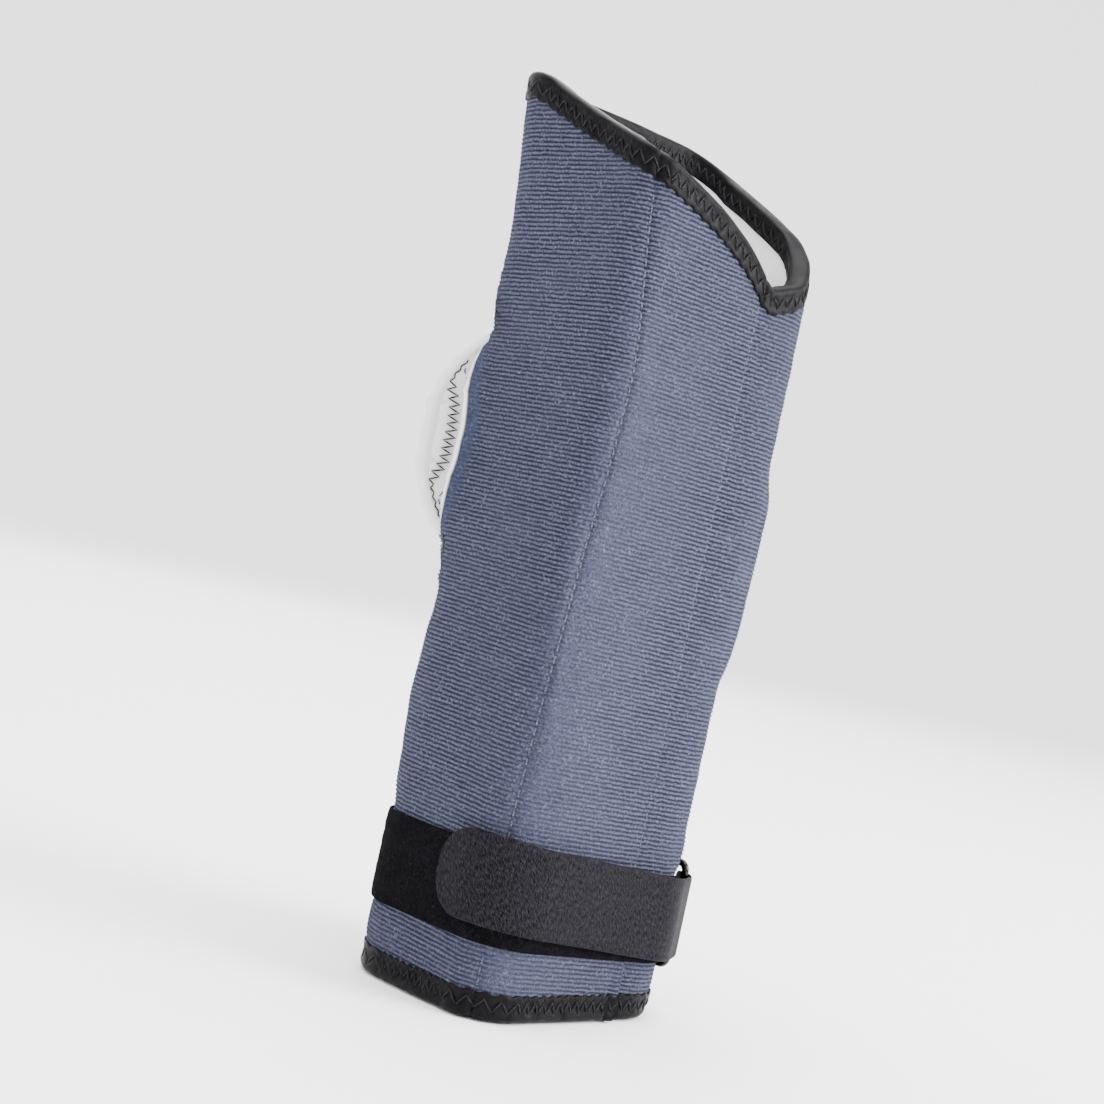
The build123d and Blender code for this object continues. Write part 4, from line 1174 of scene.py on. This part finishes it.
face = HALF_DEPTH + BAND_NEAR + BAND_THICK
sewn_box("strap_box_stitch", [(-6, face, 24), (5, face, 24), (5, face, 44), (-6, face, 44)], (0, 1, 0))
face = keeper_base + 2 * KEEPER_PLY
sewn_box("keeper_box_stitch", [(face, -2, 22), (face, 10, 22), (face, 10, 41), (face, -2, 41)], (1, 0, 0))


# ---- palmar stay's pocket
def pocket():
    """The cloth sleeve for the palmar stay: hems on the lining and a soft box over the stay."""
    lining_y = HALF_DEPTH - WALL - 0.15
    xs = spread([-6.0, -4.2, -3.3, 8.0, 19.3, 20.2, 22.0], [3, 3, 5, 5, 3, 3])
    zs = np.linspace(15.0, 230.0, 90)
    x, z = np.meshgrid(xs, zs)
    rise = 3.35 * ease((x + 4.3) / 1.1) * ease((20.3 - x) / 1.1) * ease((z - 17.0) / 2.2)
    rise = rise + 0.12 * waves(x, z, seed=41, shortest=12, longest=40)
    front = np.stack([x, lining_y - 0.75 - rise, z], axis=-1)
    back = np.stack([x, lining_y - 0.15 - rise, z], axis=-1)
    rows, cols = x.shape
    points, faces, _, _ = close_sheet(front, back, np.zeros(cols, int), np.full(cols, rows - 1))
    return make_object("palmar_stay_pocket", points, faces, POCKET)


pocket_cloth = finish_piece(pocket(), "sleeve", ["palmar_stay_pocket"])
hem, hem_y = [], HALF_DEPTH - WALL - 0.15 - 0.95
for x in (-5.1, 21.1):
    for k in range(34):
        z = 17.0 + 6.2 * k
        hem.append(tube([(x, hem_y + 0.2, z), (x, hem_y, z + 1.4), (x, hem_y, z + 2.8),
                         (x, hem_y + 0.2, z + 4.2)], 0.2))
sewing("pocket_stitches", hem, WHITE_THREAD)


# ---- CAD pieces that keep their shape
def repaint(node, material):
    """Gives a CAD object one material."""
    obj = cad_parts[node]
    if not obj.material_slots:
        obj.data.materials.append(material)
    for slot in obj.material_slots:
        slot.material = material


for node, material in {"strap_ring": PLASTIC, "dorsal_stay": METAL, "palmar_stay": METAL,
                       "dorsal_stay_end_caps": CAP, "palmar_stay_end_caps": CAP,
                       "dorsal_stay_backing": POCKET}.items():
    repaint(node, material)


# ---- floor, light and camera
def studio_material():
    m = Nodes("studio_white")
    soft = m.noise(m.stretched(), 1.2, 2.0)
    m.set(Base_Color=m.mix(soft, (0.93, 0.93, 0.93), (0.95, 0.95, 0.95)), Roughness=0.95)
    return m.material


def studio():
    """A pale floor that curves up into a round wall, the same from every side."""
    flat, curve, sides = 3.2, 1.3, 72
    bend = np.linspace(0.1, math.pi / 2, 10)
    radii = np.concatenate([np.linspace(0, flat, 12), flat + curve * np.sin(bend), [flat + curve] * 2])
    heights = np.concatenate([np.zeros(12), curve * (1 - np.cos(bend)), [4.0, 7.0]])
    verts, faces = [(0, 0, -0.0004)], []
    for r, h in zip(radii[1:], heights[1:]):
        for k in range(sides):
            angle = 2 * math.pi * k / sides
            verts.append((r * math.cos(angle), r * math.sin(angle), h - 0.0004))
    for k in range(sides):
        faces.append((0, 1 + k, 1 + (k + 1) % sides))
    faces += [(1 + a, 1 + d, 1 + c, 1 + b) for a, b, c, d in ring_faces(len(radii) - 1, sides)]
    mesh = bpy.data.meshes.new("studio_floor")
    mesh.from_pydata(verts, [], faces)
    mesh.polygons.foreach_set("use_smooth", [True] * len(mesh.polygons))
    mesh.materials.append(studio_material())
    obj = bpy.data.objects.new("studio_floor", mesh)
    bpy.context.scene.collection.objects.link(obj)


def area_light(name, location, target, size, power):
    data = bpy.data.lights.new(name, "AREA")
    data.shape = "SQUARE"
    data.size, data.energy = size, power
    obj = bpy.data.objects.new(name, data)
    obj.location = location
    obj.rotation_euler = (Vector(target) - Vector(location)).to_track_quat("-Z", "Y").to_euler()
    bpy.context.scene.collection.objects.link(obj)


studio()
world = bpy.data.worlds.new("studio_world")
world.use_nodes = True
world.node_tree.nodes["Background"].inputs[0].default_value = (1.0, 1.0, 1.0, 1.0)
world.node_tree.nodes["Background"].inputs[1].default_value = 1.0
bpy.context.scene.world = world
MIDDLE = (0.0, 0.0, 0.14)
area_light("key", (0.95, -1.5, 1.0), MIDDLE, 1.0, 100.0)
area_light("fill_thumb_side", (-1.7, 0.3, 0.9), MIDDLE, 1.2, 4.0)
area_light("back", (1.0, 1.5, 1.2), MIDDLE, 1.2, 20.0)
area_light("overhead", (0.0, 0.0, 3.4), (0.0, 0.0, 0.0), 3.2, 300.0)

CAMERA_PLACE = Vector((-0.4471, -0.4269, 0.1375))
CAMERA_LENS, CAMERA_LEAN = 64.17, 12.2
camera_data = bpy.data.cameras.new("camera")
camera_data.lens, camera_data.sensor_width = CAMERA_LENS, 36.0
camera_data.clip_start, camera_data.clip_end = 0.02, 30.0
camera = bpy.data.objects.new("camera", camera_data)
back_axis = Vector((-1, -1, 0)).normalized()
level_right = Vector((1, -1, 0)).normalized()
up = Vector((0, 0, 1))
lean = math.radians(CAMERA_LEAN)
right = level_right * math.cos(lean) + up * math.sin(lean)
above = up * math.cos(lean) - level_right * math.sin(lean)
turn = Matrix((right, above, back_axis)).transposed()
camera.matrix_world = Matrix.Translation(CAMERA_PLACE) @ turn.to_4x4()
bpy.context.scene.collection.objects.link(camera)
bpy.context.scene.camera = camera
